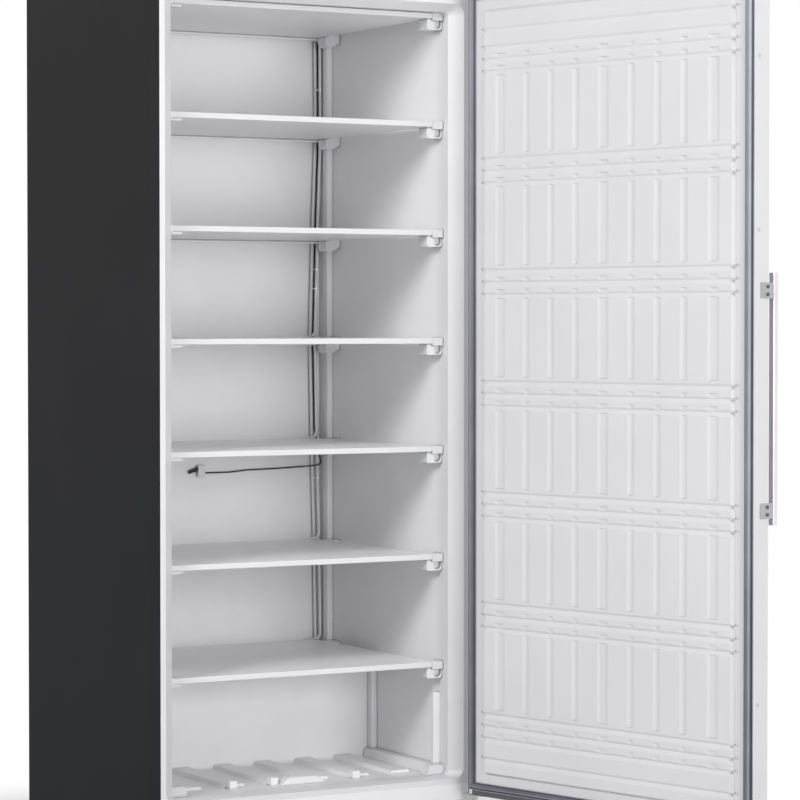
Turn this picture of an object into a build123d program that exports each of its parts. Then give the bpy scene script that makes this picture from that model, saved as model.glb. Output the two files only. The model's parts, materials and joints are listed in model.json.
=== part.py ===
"""Tall upright static freezer: foamed steel cabinet, seven fixed evaporator shelves and one full
height door, standing with the door swung open.  Millimetres, +Z up, the front faces -Y, and the
origin is on the floor under the middle of the cabinet."""
from build123d import *
import os

os.makedirs("parts", exist_ok=True)

# ------------------------------------------------------------ driving dimensions: cabinet shell
CAB_W = 777.0            # over the two side panels
CAB_D = 640.0            # front frame to the rear edges of the side panels
CAB_H = 1892.0           # floor to the top panel
SHEET = 0.8              # painted sheet steel
FOLD_R = 1.4             # outside radius of a fold
SIDE_LOW = 55.0          # lower edge of the side panels
PANEL_SETBACK = 10.0     # back panel in front of their rear edges
SILL_FOLD = 20.0         # sill folded back under the foam

# ------------------------------------------------------------ driving dimensions: liner of the cabinet
LINER = 2.0              # wall of the thermoformed liner
RETURN_W = 23.0          # steel folded round each side of the front, where the seal lands
FLANGE_W = 12.0          # white flange of the liner beside it
FLARE_D = 25.0           # depth of the sloped mouth
SIDE_FLARE = 25.0        # how far the mouth opens out at each side
TOP_FLARE = 16.0
SILL_FLARE = 4.0
LIP_Z = 195.0            # height of the inner floor
TOP_WALL = 53.0          # top panel to the ceiling of the liner
BACK_WALL = 55.0         # rear wall of the liner to the rear edges of the side panels
FLOOR_WALL = 50.0        # inner floor to the pan under the foam
MOUTH_R = 22.0           # corner radius of the mouth
CORNER_R = 10.0          # corner radius inside the tub
NOSE_R = 8.0             # front edge of the compressor step
STEP_DEPTH = 357.0       # front frame to the face of that step
STEP_H = 200.0           # its height above the inner floor
STEP_WALL = 48.0         # foam between the step and the machine space
COLUMN_W = 14.0          # moulded column in each rear corner
COLUMN_D = 39.0
LOW_COLUMN_D = 20.0
COLUMN_R = 4.0

# ------------------------------------------------------------ driving dimensions: relief of the inner floor
RIB_COUNT = 6
RIB_PITCH = 100.0
RIB_W = 52.0
RIB_H = 8.0
RIB_SLOPE = 50.0         # degrees
RIB_START = 96.0         # front frame to the front ends of the ribs
STOP_PLACES = ((-294.0, 50.0), (-2.0, 111.0))   # middle and width of each basket stop
STOP_H = 16.0
STOP_SLOPE = 35.0
STOP_D = 24.0
STOP_SETBACK = 68.0
CUBE = 17.0
CUBE_SETBACK = 78.0
CUBE_PLACES = (-161.5, -65.0, 132.0)
GUIDE_W = 20.0           # upright basket guide on each side wall
GUIDE_SETBACK = 58.0
GUIDE_LOW = 17.0
GUIDE_HIGH = 176.0
GUIDE_PROUD = 14.0
GUIDE_SLOPE = 70.0       # degrees
GUIDE_FOOT = (42.0, 21.0, 30.0)   # width from the wall, height and depth
GUIDE_FOOT_SETBACK = 40.0
LEDGE = (27.0, 20.0)     # ledge along each side wall behind the guide: width and height
LEDGE_SLOPE = 75.0

# ------------------------------------------------------------ driving dimensions: shelves
SHELF_COUNT = 7
SHELF_T = 12.0
SHELF_TOP_GAP = 0.5      # top plate under the ceiling
SHELF_SETBACK = 45.0     # front frame to the front edge
SHELF_BACK_GAP = 17.0    # rear edge to the rear wall
SHELF_SIDE_GAP = 28.5    # side edge to the side wall
HEADER_R = 3.5           # tube across the rear underside of each plate
HEADER_DROP = 2.5        # its centre below the plate
HEADER_INSET = 5.0       # and in front of the rear edge
TRIM_D = 4.0             # front edge trim
TRIM_GAP = 1.0           # ends of the trim to the side walls
TRIM_CAPS = ((-1, 13.0, 2.0), (1, 26.0, 4.0))   # side, width and drop of its moulded ends
CAP_PROUD = 0.6
EDGE_R = 1.5
BRACKET_D = 36.0         # corner bracket, front to back
BRACKET_UNDER = 9.0      # how far it reaches under the plate
BRACKET_BLOCK = 17.0     # width of its clip block
BRACKET_DROP = 24.0      # depth of the block below the plate
BRACKET_TAIL = 14.0      # depth at the side wall
BRACKET_R = 4.0
FRONT_DROPS = {-1: 6.0, 1: 24.0}   # front brackets of the left and of the right wall
POCKET_W = 17.0          # pocket in the face of a deep front bracket
POCKET_D = 8.0
POCKET_WALL = 2.5
SEAT_GAP = 0.3           # play between a piece and what it is pushed into

# ------------------------------------------------------------ driving dimensions: lines inside the cabinet
TUBE_R = 3.5
TUBE_BEND = 7.0
TUBE_GAP = 1.0           # between the two upright tubes, front to back
RISER_GAP = 5.0          # rear wall to the centre of the rear one
PAIR_GAP = 9.0           # between them, side to side
PAIR_X = (304.0, 305.0, 297.0, 291.0, 295.0, 301.0, 304.0)   # where the pair stands at each shelf
SLANT_R = 60.0
LINK_RUN = 60.0          # link tube along the rear edge of a plate
LINK_RISE = 10.0         # how far it slants away on the way
LINK_BEND = 14.0
SOCKET_D = 12.0          # tube end inside a plate
BAND_H = 3.0
BAND_WALL = 1.0
BAND_PLACES = (1512.0, 1099.0, 1055.0, 619.0)   # above the inner floor
SENSOR_R = 4.0
SENSOR_Z = 651.0         # above the inner floor
SENSOR_DROP = 10.0
SENSOR_L = 32.0
CLIP_W = 17.0
CLIP_H = 26.0
CLIP_X = 6.0
CLIP_D = 12.0
LEAD_R = 1.5
LEAD_BEND = 8.0
LEAD_ROUTE = ((78.5, 637.5), (125.0, 641.5), (196.0, 643.0), (264.5, 646.0))   # x and height
LEAD_LOOP = (-14.0, 12.0)   # where it crosses in front of the pair, from its middle
LEAD_LOOP_RISE = (648.0, 651.0)
LEAD_PASS = 10.0         # shelf to the heights at which it turns behind and between the tubes
LEAD_SETBACK = 7.0       # rear wall to the lead behind a shelf
LEAD_BETWEEN = 4.0       # middle of the pair to the lead between the tubes

# ------------------------------------------------------------ driving dimensions: base and machine space
RAIL_T = 2.0
RAIL_W = 36.0
RAIL_LOW = 60.0
RAIL_SETBACK = 25.0      # front frame to the front ends of the rails
RAIL_BACK = 14.0
BEAM_W = 36.0            # front cross beam
BEAM_H = 40.0
DECK_Z = 72.0            # underside of the compressor deck
DECK_LIP = 22.0
FOOT_R = 17.0
FOOT_H = 10.0
FOOT_TAPER = 12.0        # degrees
FOOT_SETBACK = 62.0      # front frame to the foot
STEM_R = 6.0
STEM_TOP = 96.0
NUT_R = 11.0
NUT_H = 10.0
RUN_FIT = 0.08           # radial play of a turning fit
ROLLER_R = 24.0
ROLLER_W = 20.0
ROLLER_FROM_BACK = 60.0
CHEEK_D = 26.0
CHEEK_LOW = 12.0
AXLE_R = 4.0
AXLE_HEAD_R = 6.0
AXLE_HEAD = 1.5
COMP_R = 76.0
COMP_H = 168.0
COMP_DOME = 34.0
COMP_X = 60.0
COMP_BACK = 118.0        # compressor axis in front of the rear edges
COMP_SEAM = 4.0
COMP_PLATE = (208.0, 150.0)
COMP_PLATE_R = 18.0
COMP_BOLT = (172.0, 116.0)
STUB_R = 4.5
STUB_L = 16.0
STUB_SIDE = 24.0         # stubs beside the compressor axis
SUCTION_H = 80.0         # stubs above the mounting plate
DISCHARGE_H = 34.0
GROMMET_R = 12.0
GROMMET_NECK = 7.0
GROMMET_H = 18.0
COVER_W = 62.0           # terminal cover
COVER_D = 34.0
COVER_H = 70.0
DRIER_R = 9.0
DRIER_L = 96.0
DRIER_TOP = 292.0
CAPILLARY_R = 1.5
LINE_BEND = 20.0
LINE_LOW = 300.0         # height of the joints under the foam
COND_R = 2.5
COND_RUNS = 9
COND_PITCH = 130.0
COND_W = 600.0
COND_TOP_GAP = 150.0     # top panel to the first run
COND_BEND = 30.0
COND_STANDOFF = 17.0     # back panel to the condenser tubes
COND_SIDE = 340.0        # upright feed of the condenser
WIRE_COUNT = 25
WIRE = 1.6
WIRE_OVERHANG = 12.0
HANGER_W = 16.0
GLAND_X = -200.0
GLAND_R = 9.0
GLAND_RIM = 3.0
GLAND_L = 16.0

# ------------------------------------------------------------ driving dimensions: kick plate and controls
KICK_T = 1.2
KICK_LOW = 58.0
KICK_GAP = 2.0
KICK_FOLD = 14.0
SLOT_COUNT = 12
SLOT_ROWS = 4
SLOT_W = 26.0
SLOT_H = 4.0
SLOT_PITCH = 34.0
SLOT_X = -110.0
CONTROL_Z = 100.0
KNOB_X = 250.0
KNOB_R = 15.0
KNOB_L = 13.0
KNOB_GRIP = 5.0
KNOB_TAPER = 4.0         # degrees
SHAFT_R = 3.0
THERMOSTAT = 40.0
THERMOSTAT_D = 32.0
SWITCH_X = 190.0
SWITCH_W = 24.0
SWITCH_H = 15.0
SWITCH_D = 18.0
SWITCH_WALL = 2.0
BEZEL = 1.6
ROCKER_PIN = 1.0
ROCKER_TILT = 8.0        # degrees, switched on

# ------------------------------------------------------------ driving dimensions: door
DOOR_OPEN = 104.6        # degrees from closed
DOOR_T = 45.0            # steel front to the inner frame
DOOR_UNDER_LIP = 33.0    # lower edge below the inner floor
DOOR_TOP_GAP = 7.0       # upper edge below the top panel
DOOR_RETURN = 9.0        # skin folded onto the inner frame
SEAL_T = 8.0             # inner frame to the cabinet
SEAL_W = 16.0
SEAL_INSET = 5.0         # side edge of the door to the seal
SEAL_END_INSET = 12.0    # upper and lower edge of the door to the seal
SEAL_GAP = 0.5
SEAL_BASE = 3.0
SEAL_STEP = 2.0
MAGNET_W = 8.0
MAGNET_T = 2.4
MAGNET_PLAY = 0.2
CAP_T = 2.0
CAP_PLUG = 14.0
CAP_LIP = 11.0
CAP_LIP_T = 3.0
AXIS_INSET = 10.0        # side panel to the hinge axis
AXIS_SETBACK = 9.0       # door front to the hinge axis
PIN_R = 4.0
PIN_DEPTH = 14.0
BUSH_R = 6.0
BUSH_RIM_R = 8.5
BUSH_RIM = 3.7
BOSS_R = 7.8
HINGE_GAP = 4.0          # door to the lower hinge plate
HINGE_PLATE = 3.0
HINGE_END_R = 9.0
HINGE_BACK_R = 12.0
HINGE_LONG = 60.0
HINGE_LEG = 37.0
HINGE_SCREW_DROPS = (17.0, 29.0)   # screws of the lower bracket below its plate
HINGE_SCREW_R = 2.5
HINGE_SCREW_HEAD = 5.0
HINGE_SCREW_L = 12.0
SINK_TAPER = 41.0        # countersunk heads, degrees

# ------------------------------------------------------------ driving dimensions: liner of the door
FIELD_MARGIN = 11.0      # raised field inside the mouth of the cabinet
FIELD_LOW = 15.0         # above the inner floor
FIELD_HIGH = 1640.0
FIELD_H = 7.5
FIELD_SLOPE = 38.0       # degrees
FIELD_R = 12.0
GROOVE_BANDS = 7
GROOVE_FIRST = 147.5     # top groove of the lowest band above the inner floor
GROOVE_BAND = 235.7
GROOVE_STEP = 25.7
GROOVES_PER_BAND = 3
GROOVE_LOWEST = 52.2
GROOVE_HIGHEST = 1598.6
GROOVE_PROFILE = ((0.0, 2.6), (-2.2, -2.0), (0.0, -11.0))   # steep above, easy below: depth and height
GROOVE_TAIL = (7.0, 5.0, 1.0)   # length, width and depth of its end on the border
NOTCH = ((1.0, 2.0), (-5.0, -5.0), (1.0, -12.0))   # opening at the edge of the field: x and height
NOTCH_SLOPE = 30.0       # degrees
FLUTES = ((0.0, 15.0, 7.0), (76.0, 10.0, 2.5), (145.5, 10.0, 2.5), (215.0, 10.0, 2.5), (291.0, 15.0, 7.0))
FLUTE_D = 1.2
FLUTE_ENDS = (8.5, 10.0)   # from the groove below and from the groove above
FLUTE_MARK = 9.0         # height of the short flutes over the other grooves

# ------------------------------------------------------------ driving dimensions: handle
BAR = 13.0
BAR_LOW = 579.0          # above the inner floor
BAR_HIGH = 1076.0
BAR_GAP = 12.0           # door front to the bar
BAR_EDGE = 1.0
TAB_T = 3.0
TAB_H = 31.0
TAB_LOW_INSET = 14.0     # end of the bar to a bracket
TAB_HIGH_INSET = 20.0
TAB_ON_DOOR = 27.6
TAB_R = 3.0
SCREW_R = 2.0
SCREW_HEAD_R = 3.6
SCREW_HEAD = 1.6
SCREW_L = 14.0
SCREW_PITCH = 15.0
SCREW_SETBACK = 7.0      # door front to the screws
PLUG_PLACES = (229.0, 1159.0, 1497.0)
PLUG_SETBACK = 32.5
PLUG_R = 3.0
PLUG_HEAD_R = 4.0
PLUG_HEAD = 0.8
PLUG_L = 6.0

# ------------------------------------------------------------ places worked out from them
FRONT_Y = -CAB_D / 2
REAR_Y = CAB_D / 2
SKIN_X = CAB_W / 2 - SHEET
FLANGE_X = CAB_W / 2 - RETURN_W
MOUTH_X = FLANGE_X - FLANGE_W
INNER_X = MOUTH_X - SIDE_FLARE
CEIL_Z = CAB_H - TOP_WALL
MOUTH_LOW = LIP_Z - SILL_FLARE
MOUTH_HIGH = CEIL_Z + TOP_FLARE
FLANGE_LOW = MOUTH_LOW - FLANGE_W
FLANGE_HIGH = MOUTH_HIGH + FLANGE_W
TUB_Y = FRONT_Y + FLARE_D
BACK_Y = REAR_Y - BACK_WALL
PANEL_Y = REAR_Y - PANEL_SETBACK - SHEET
STEP_Y = FRONT_Y + STEP_DEPTH
STEP_Z = LIP_Z + STEP_H
PAN_Z = LIP_Z - FLOOR_WALL
MACHINE_Y = STEP_Y + STEP_WALL
MACHINE_Z = STEP_Z - STEP_WALL
SHELF_PITCH = (CEIL_Z - LIP_Z - SHELF_T - SHELF_TOP_GAP) / SHELF_COUNT
SHELF_Z = [LIP_Z + SHELF_PITCH * (SHELF_COUNT - number) for number in range(SHELF_COUNT)]
MID_Z = [height + SHELF_T / 2 for height in SHELF_Z]
SHELF_X = INNER_X - SHELF_SIDE_GAP
SHELF_FRONT_Y = FRONT_Y + SHELF_SETBACK
SHELF_BACK_Y = BACK_Y - SHELF_BACK_GAP
RISER_Y = BACK_Y - RISER_GAP
LINK_Y = RISER_Y - 2 * TUBE_R - TUBE_GAP
TUBE_END_Y = SHELF_BACK_Y - SOCKET_D + SEAT_GAP
RAIL_X = SKIN_X - RAIL_W / 2
COMP_Y = REAR_Y - COMP_BACK
COMP_Z = DECK_Z + RAIL_T + GROMMET_H
COND_Y = PANEL_Y + SHEET + COND_STANDOFF
COND_TOP = CAB_H - COND_TOP_GAP
DOOR_LOW = LIP_Z - DOOR_UNDER_LIP
DOOR_HIGH = CAB_H - DOOR_TOP_GAP
DOOR_REAR_Y = FRONT_Y - SEAL_T
DOOR_FRONT_Y = DOOR_REAR_Y - DOOR_T
DOOR_X = CAB_W / 2
AXIS_X = DOOR_X - AXIS_INSET
AXIS_Y = DOOR_FRONT_Y + AXIS_SETBACK
HINGE_AXIS = Axis((AXIS_X, AXIS_Y, 0), (0, 0, 1))
HINGE_LOW_Z = DOOR_LOW - HINGE_GAP - HINGE_PLATE


# ------------------------------------------------------------ helpers
def upright(y):
    """Sketch plane at depth y: local x is -X, local y is Z, and extrusions go to +Y."""
    return Plane((0, y, 0), x_dir=(-1, 0, 0), z_dir=(0, 1, 0))


def facing(y):
    """Sketch plane at depth y: local x is X, local y is Z, and extrusions go to -Y."""
    return Plane((0, y, 0), x_dir=(1, 0, 0), z_dir=(0, -1, 0))


def across(x):
    """Sketch plane at x: local x is Y, local y is Z, and extrusions go to +X."""
    return Plane.YZ.offset(x)


def panel(half_width, low, high, radius=0.0, mode=Mode.ADD):
    """Rectangle of an upright sketch, centred on X, with rounded corners where a radius is given."""
    with Locations((0, (low + high) / 2)):
        if radius:
            RectangleRounded(2 * half_width, high - low, radius, mode=mode)
        else:
            Rectangle(2 * half_width, high - low, mode=mode)


def block(low, high, mode=Mode.ADD):
    """Box between two opposite corners, in the sub-part being built."""
    with Locations(tuple((bottom + top) / 2 for bottom, top in zip(low, high))):
        Box(*[abs(top - bottom) for bottom, top in zip(low, high)], mode=mode)


def rod(start, direction, radius, length, mode=Mode.ADD):
    """Round bar from a start point along a direction."""
    with BuildSketch(Plane(start, z_dir=direction)) as section:
        Circle(radius)
    extrude(section.sketch, amount=length, mode=mode)


def pipe(points, bends, radius):
    """Round tube along straight runs joined by tangent arcs."""
    with BuildLine() as route:
        FilletPolyline(*points, radius=bends)
    with BuildSketch(Plane(route.line @ 0, z_dir=route.line % 0)) as section:
        Circle(radius)
    sweep(section.sketch, path=route.line)


def folded(plane, points, thickness, length):
    """Sheet metal section: a strip of even thickness along a centre line, extruded."""
    with BuildSketch(plane) as section:
        with BuildLine():
            Polyline(*points)
        trace(line_width=thickness)
    extrude(section.sketch, amount=length)


def write(piece, name):
    """Label a finished piece of the cabinet and save it."""
    piece.label = name
    export_step(piece, f"parts/{name}.step")


def write_on_door(piece, name):
    """Swing a piece that was modelled on the closed door to the open door, and save it."""
    write(piece.rotate(HINGE_AXIS, DOOR_OPEN), name)


# ------------------------------------------------------------ inner space of the cabinet
def cavity(grow):
    """The inner space grown by a wall: sloped mouth, tub with its step, and corner columns."""
    low, high = LIP_Z - grow, CEIL_Z + grow
    step_y, step_z, back_y = STEP_Y + grow, STEP_Z - grow, BACK_Y + grow
    inner = CORNER_R + grow
    with BuildPart() as space:
        with BuildSketch(across(-INNER_X - grow)):
            with BuildLine():
                FilletPolyline(
                    (TUB_Y, low), (step_y, low), (step_y, step_z), (back_y, step_z),
                    (back_y, high), (TUB_Y, high),
                    radius=(0, inner, NOSE_R - grow, inner, inner, 0), close=True)
            make_face()
        extrude(amount=2 * (INNER_X + grow))
        with BuildSketch(upright(TUB_Y)):
            panel(INNER_X + grow, low, high, inner)
        extrude(amount=back_y - TUB_Y, mode=Mode.INTERSECT)
        with BuildSketch(upright(FRONT_Y)):
            panel(MOUTH_X + grow, MOUTH_LOW - grow, MOUTH_HIGH + grow, MOUTH_R + grow)
        with BuildSketch(upright(TUB_Y)):
            panel(INNER_X + grow, low, high, inner)
        loft()
        for y, depth, bottom, top in ((STEP_Y, LOW_COLUMN_D, low, step_z), (BACK_Y, COLUMN_D, step_z, high)):
            with BuildSketch(Plane.XY.offset(bottom)):
                with Locations((-INNER_X, y), (INNER_X, y)):
                    RectangleRounded(2 * (COLUMN_W - grow), 2 * (depth - grow), COLUMN_R)
            extrude(amount=top - bottom, mode=Mode.SUBTRACT)
    return space.part


around_tub = cavity(LINER)

with BuildPart() as hollow:                          # the inner space with the relief of the liner
    add(cavity(0))
    with BuildSketch(upright(FRONT_Y + RIB_START)):
        with Locations((0, LIP_Z + RIB_H / 2)):
            with GridLocations(RIB_PITCH, 1, RIB_COUNT, 1):
                Trapezoid(RIB_W, RIB_H, RIB_SLOPE)
    extrude(amount=STEP_DEPTH - RIB_START, mode=Mode.SUBTRACT)
    with BuildSketch(upright(FRONT_Y + STOP_SETBACK)):
        for x, width in STOP_PLACES:
            with Locations((-x, LIP_Z + STOP_H / 2)):
                Trapezoid(width, STOP_H, STOP_SLOPE)
    extrude(amount=STOP_D, mode=Mode.SUBTRACT)
    with BuildSketch(upright(FRONT_Y + CUBE_SETBACK)):
        with Locations(*[(-x, LIP_Z + CUBE / 2) for x in CUBE_PLACES]):
            Rectangle(CUBE, CUBE)
    extrude(amount=CUBE, mode=Mode.SUBTRACT)
    for side in (-1, 1):
        with BuildSketch(Plane.XY.offset(LIP_Z + GUIDE_LOW)):
            with Locations((side * (INNER_X - GUIDE_PROUD / 2), FRONT_Y + GUIDE_SETBACK + GUIDE_W / 2)):
                Trapezoid(GUIDE_W, GUIDE_PROUD, GUIDE_SLOPE, rotation=90 * side)
        extrude(amount=GUIDE_HIGH - GUIDE_LOW, mode=Mode.SUBTRACT)
        foot_y = FRONT_Y + GUIDE_FOOT_SETBACK
        ledge_y = foot_y + GUIDE_FOOT[2]
        for y, rear_y, (width, height) in ((foot_y, ledge_y, GUIDE_FOOT[:2]), (ledge_y, STEP_Y, LEDGE)):
            with BuildSketch(upright(y)):
                with Locations((-side * INNER_X, LIP_Z + height / 2)):
                    Trapezoid(2 * width, height, LEDGE_SLOPE)
            extrude(amount=rear_y - y, mode=Mode.SUBTRACT)

RISER_X = [x - PAIR_GAP / 2 for x in PAIR_X]         # left tube of the pair at each shelf
LINK_X = [x + PAIR_GAP / 2 for x in PAIR_X]          # right tube, in front of it


def tube_holes(top, bottom):
    """Holes for the two tubes that go down through the step."""
    for x, y in ((RISER_X[-1], RISER_Y), (LINK_X[-1], LINK_Y)):
        rod((x, y, top), (0, 0, -1), TUBE_R + SEAT_GAP / 2, top - bottom, Mode.SUBTRACT)


def pair_x(height):
    """Middle of the pair of tubes at a height between two shelves."""
    for above, under, upper, lower in zip(MID_Z, MID_Z[1:], PAIR_X, PAIR_X[1:]):
        high, low = above - LINK_RISE, under + LINK_RISE
        if low <= height <= high:
            return lower + (upper - lower) * (height - low) / (high - low)


# ------------------------------------------------------------ cabinet shell
TOP_SCREWS = [(AXIS_X - x, FRONT_Y + 2 * HINGE_BACK_R) for x in (0, HINGE_LONG / 2, HINGE_LONG)]
LEG_SCREWS = [HINGE_LOW_Z - drop for drop in HINGE_SCREW_DROPS]

with BuildPart() as outer_wrap:                      # two sides and the top, folded round the front
    with BuildSketch(upright(FRONT_Y)):
        panel(CAB_W / 2, SIDE_LOW, CAB_H)
    extrude(amount=CAB_D)
    with BuildSketch(upright(FRONT_Y + SHEET)):
        panel(SKIN_X, SIDE_LOW, CAB_H - SHEET)
    extrude(amount=CAB_D, mode=Mode.SUBTRACT)
    with BuildSketch(upright(FRONT_Y)):
        panel(FLANGE_X, SIDE_LOW, FLANGE_HIGH)
    extrude(amount=SHEET, mode=Mode.SUBTRACT)
    corners = outer_wrap.edges().filter_by(Axis.Z).group_by(Axis.Y)[0].sort_by(Axis.X)
    fillet((corners[0], corners[-1]), FOLD_R)
    for x, y in TOP_SCREWS:
        rod((x, y, CAB_H), (0, 0, -1), HINGE_SCREW_R + SEAT_GAP / 2, SHEET, Mode.SUBTRACT)
    for z in LEG_SCREWS:
        rod((AXIS_X, FRONT_Y, z), (0, 1, 0), HINGE_SCREW_R + SEAT_GAP / 2, SHEET, Mode.SUBTRACT)
write(outer_wrap.part, "outer_wrap")

with BuildPart() as back_panel:
    with BuildSketch(upright(PANEL_Y)):
        panel(SKIN_X, MACHINE_Z, CAB_H - SHEET)
    extrude(amount=SHEET)
write(back_panel.part, "back_panel")

with BuildPart() as bottom_pan:                      # under the foam, up over the machine space
    middle = SHEET / 2
    folded(across(-SKIN_X),
           [(FRONT_Y + SHEET, PAN_Z - middle), (MACHINE_Y + middle, PAN_Z - middle),
            (MACHINE_Y + middle, MACHINE_Z - middle), (PANEL_Y + SHEET, MACHINE_Z - middle)],
           SHEET, 2 * SKIN_X)
    tube_holes(MACHINE_Z, MACHINE_Z - SHEET)
write(bottom_pan.part, "bottom_pan")

with BuildPart() as front_sill:                      # white strip under the liner flange
    folded(across(-FLANGE_X),
           [(FRONT_Y + middle, FLANGE_LOW), (FRONT_Y + middle, PAN_Z - SHEET - middle),
            (FRONT_Y + SILL_FOLD, PAN_Z - SHEET - middle)],
           SHEET, 2 * FLANGE_X)
write(front_sill.part, "front_sill")

with BuildPart() as cabinet_foam:
    block((-SKIN_X, FRONT_Y + SHEET, PAN_Z), (SKIN_X, PANEL_Y, CAB_H - SHEET))
    block((-SKIN_X, MACHINE_Y, PAN_Z), (SKIN_X, PANEL_Y, MACHINE_Z), Mode.SUBTRACT)
    block((-FLANGE_X, FRONT_Y, FLANGE_LOW), (FLANGE_X, FRONT_Y + LINER, FLANGE_HIGH), Mode.SUBTRACT)
    add(around_tub, mode=Mode.SUBTRACT)
    tube_holes(STEP_Z, MACHINE_Z)
    for x, y in TOP_SCREWS:
        rod((x, y, CAB_H), (0, 0, -1), HINGE_SCREW_R + SEAT_GAP / 2, HINGE_SCREW_L, Mode.SUBTRACT)
write(cabinet_foam.part, "cabinet_foam")

with BuildPart() as inner_liner:
    with BuildSketch(upright(FRONT_Y)):
        panel(FLANGE_X, FLANGE_LOW, FLANGE_HIGH)
    extrude(amount=LINER)
    add(around_tub)
    add(hollow.part, mode=Mode.SUBTRACT)
    tube_holes(STEP_Z + CORNER_R, STEP_Z - LINER)
write(inner_liner.part, "inner_liner")


# ------------------------------------------------------------ shelves, which are the evaporator plates
for number, height in enumerate(SHELF_Z):
    sockets = (LINK_X[number] - LINK_RUN, LINK_X[number] if number else RISER_X[0])
    header_y = SHELF_BACK_Y - HEADER_INSET
    with BuildPart() as shelf:
        block((-SHELF_X, SHELF_FRONT_Y + TRIM_D, height), (SHELF_X, SHELF_BACK_Y, height + SHELF_T))
        fillet(shelf.edges().group_by(Axis.Y)[-1].filter_by(Axis.X), EDGE_R)
        rod((-SHELF_X, header_y, height - HEADER_DROP), (1, 0, 0), HEADER_R, 2 * SHELF_X)
        for x in sockets:
            rod((x, SHELF_BACK_Y, height + SHELF_T / 2), (0, -1, 0), TUBE_R + SEAT_GAP / 2,
                SOCKET_D, Mode.SUBTRACT)
    write(shelf.part, f"evaporator_shelf_{number + 1}")

with BuildPart() as shelf_edge_trims:                # one strip along each front edge, with moulded ends
    trim_x = INNER_X - TRIM_GAP
    for height in SHELF_Z:
        block((-trim_x, SHELF_FRONT_Y, height), (trim_x, SHELF_FRONT_Y + TRIM_D, height + SHELF_T))
    fillet(shelf_edge_trims.edges().filter_by(Axis.X).group_by(Axis.Y)[0], EDGE_R)
    for height in SHELF_Z:
        for side, width, drop in TRIM_CAPS:
            block((side * trim_x, SHELF_FRONT_Y - CAP_PROUD, height - drop),
                  (side * (trim_x - width), SHELF_FRONT_Y + TRIM_D, height + SHELF_T + CAP_PROUD))
    add(hollow.part, mode=Mode.INTERSECT)
write(shelf_edge_trims.part, "shelf_edge_trims")


def shelf_brackets(side):
    """Corner brackets of one side wall, front and rear, under every shelf."""
    wall, seat, reach = side * INNER_X, side * (SHELF_X + SEAT_GAP), side * (SHELF_X - BRACKET_UNDER)
    block_end = reach + side * BRACKET_BLOCK
    front_y = SHELF_FRONT_Y + TRIM_D + SEAT_GAP
    drop = FRONT_DROPS[side]
    wall_r = min(drop - EDGE_R, 2 * BRACKET_R)
    inner_wall, pocket = wall - side * POCKET_WALL, wall - side * (POCKET_WALL + POCKET_W)
    with BuildPart() as brackets:
        for height in SHELF_Z:
            top, foot = height + SHELF_T, height - BRACKET_DROP
            with BuildSketch(facing(front_y)):
                with BuildLine():
                    FilletPolyline((wall, top), (seat, top), (seat, height), (reach, height),
                                   (reach, height - drop), (wall, height - drop),
                                   radius=(0, 0, 0, 0, BRACKET_R, wall_r), close=True)
                make_face()
            extrude(amount=-BRACKET_D)
            if drop > POCKET_D:
                with BuildSketch(facing(front_y)):
                    with BuildLine():
                        FilletPolyline((pocket, height), (pocket, height - drop + POCKET_WALL),
                                       (inner_wall, height - drop + POCKET_WALL), (inner_wall, height),
                                       radius=(0, BRACKET_R, 2 * BRACKET_R, 0), close=True)
                    make_face()
                extrude(amount=-POCKET_D, mode=Mode.SUBTRACT)
            with BuildSketch(facing(BACK_Y - COLUMN_D - BRACKET_D)):
                with BuildLine():
                    Polyline((wall, top), (seat, top), (seat, height), (reach, height),
                             (reach, foot + BRACKET_R), (reach + BRACKET_R * side, foot), (block_end, foot))
                    arc = TangentArc((block_end, foot), (wall, height - BRACKET_TAIL), tangent=(side, 0.5))
                    Line(arc @ 1, (wall, top))
                make_face()
            extrude(amount=-BRACKET_D)
        add(hollow.part, mode=Mode.INTERSECT)
    return brackets.part


write(shelf_brackets(-1), "shelf_brackets_left")
write(shelf_brackets(1), "shelf_brackets_right")

# ------------------------------------------------------------ refrigerant lines inside the cabinet
SOCKET_BEND = LINK_Y - SHELF_BACK_Y

with BuildPart() as suction_riser:                   # from the top plate down past all the others
    route = [(RISER_X[0], TUBE_END_Y, MID_Z[0]), (RISER_X[0], RISER_Y, MID_Z[0])]
    for here, below, upper, lower in zip(RISER_X, RISER_X[1:], MID_Z, MID_Z[1:]):
        route += [(here, RISER_Y, upper - LINK_RISE), (below, RISER_Y, lower + LINK_RISE)]
    route.append((RISER_X[-1], RISER_Y, LINE_LOW))
    pipe(route, [TUBE_BEND] + [SLANT_R] * (len(route) - 3), TUBE_R)
write(suction_riser.part, "suction_riser")

with BuildPart() as shelf_link_tubes:                # each plate to the next, and the feed of the lowest
    for number, (x, below, upper, lower) in enumerate(zip(LINK_X, LINK_X[1:], MID_Z, MID_Z[1:])):
        start = x if number else x - LINK_RUN
        route = [(start, TUBE_END_Y, upper), (start, LINK_Y, upper), (x, LINK_Y, upper - LINK_RISE),
                 (below, LINK_Y, lower + LINK_RISE), (below - LINK_RUN, LINK_Y, lower),
                 (below - LINK_RUN, TUBE_END_Y, lower)]
        pipe(route, [SOCKET_BEND, SLANT_R if number else LINK_BEND, LINK_BEND, SOCKET_BEND], TUBE_R)
    pipe([(LINK_X[-1], TUBE_END_Y, MID_Z[-1]), (LINK_X[-1], LINK_Y, MID_Z[-1]),
          (LINK_X[-1], LINK_Y, LINE_LOW)], SOCKET_BEND, TUBE_R)
write(shelf_link_tubes.part, "shelf_link_tubes")

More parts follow.
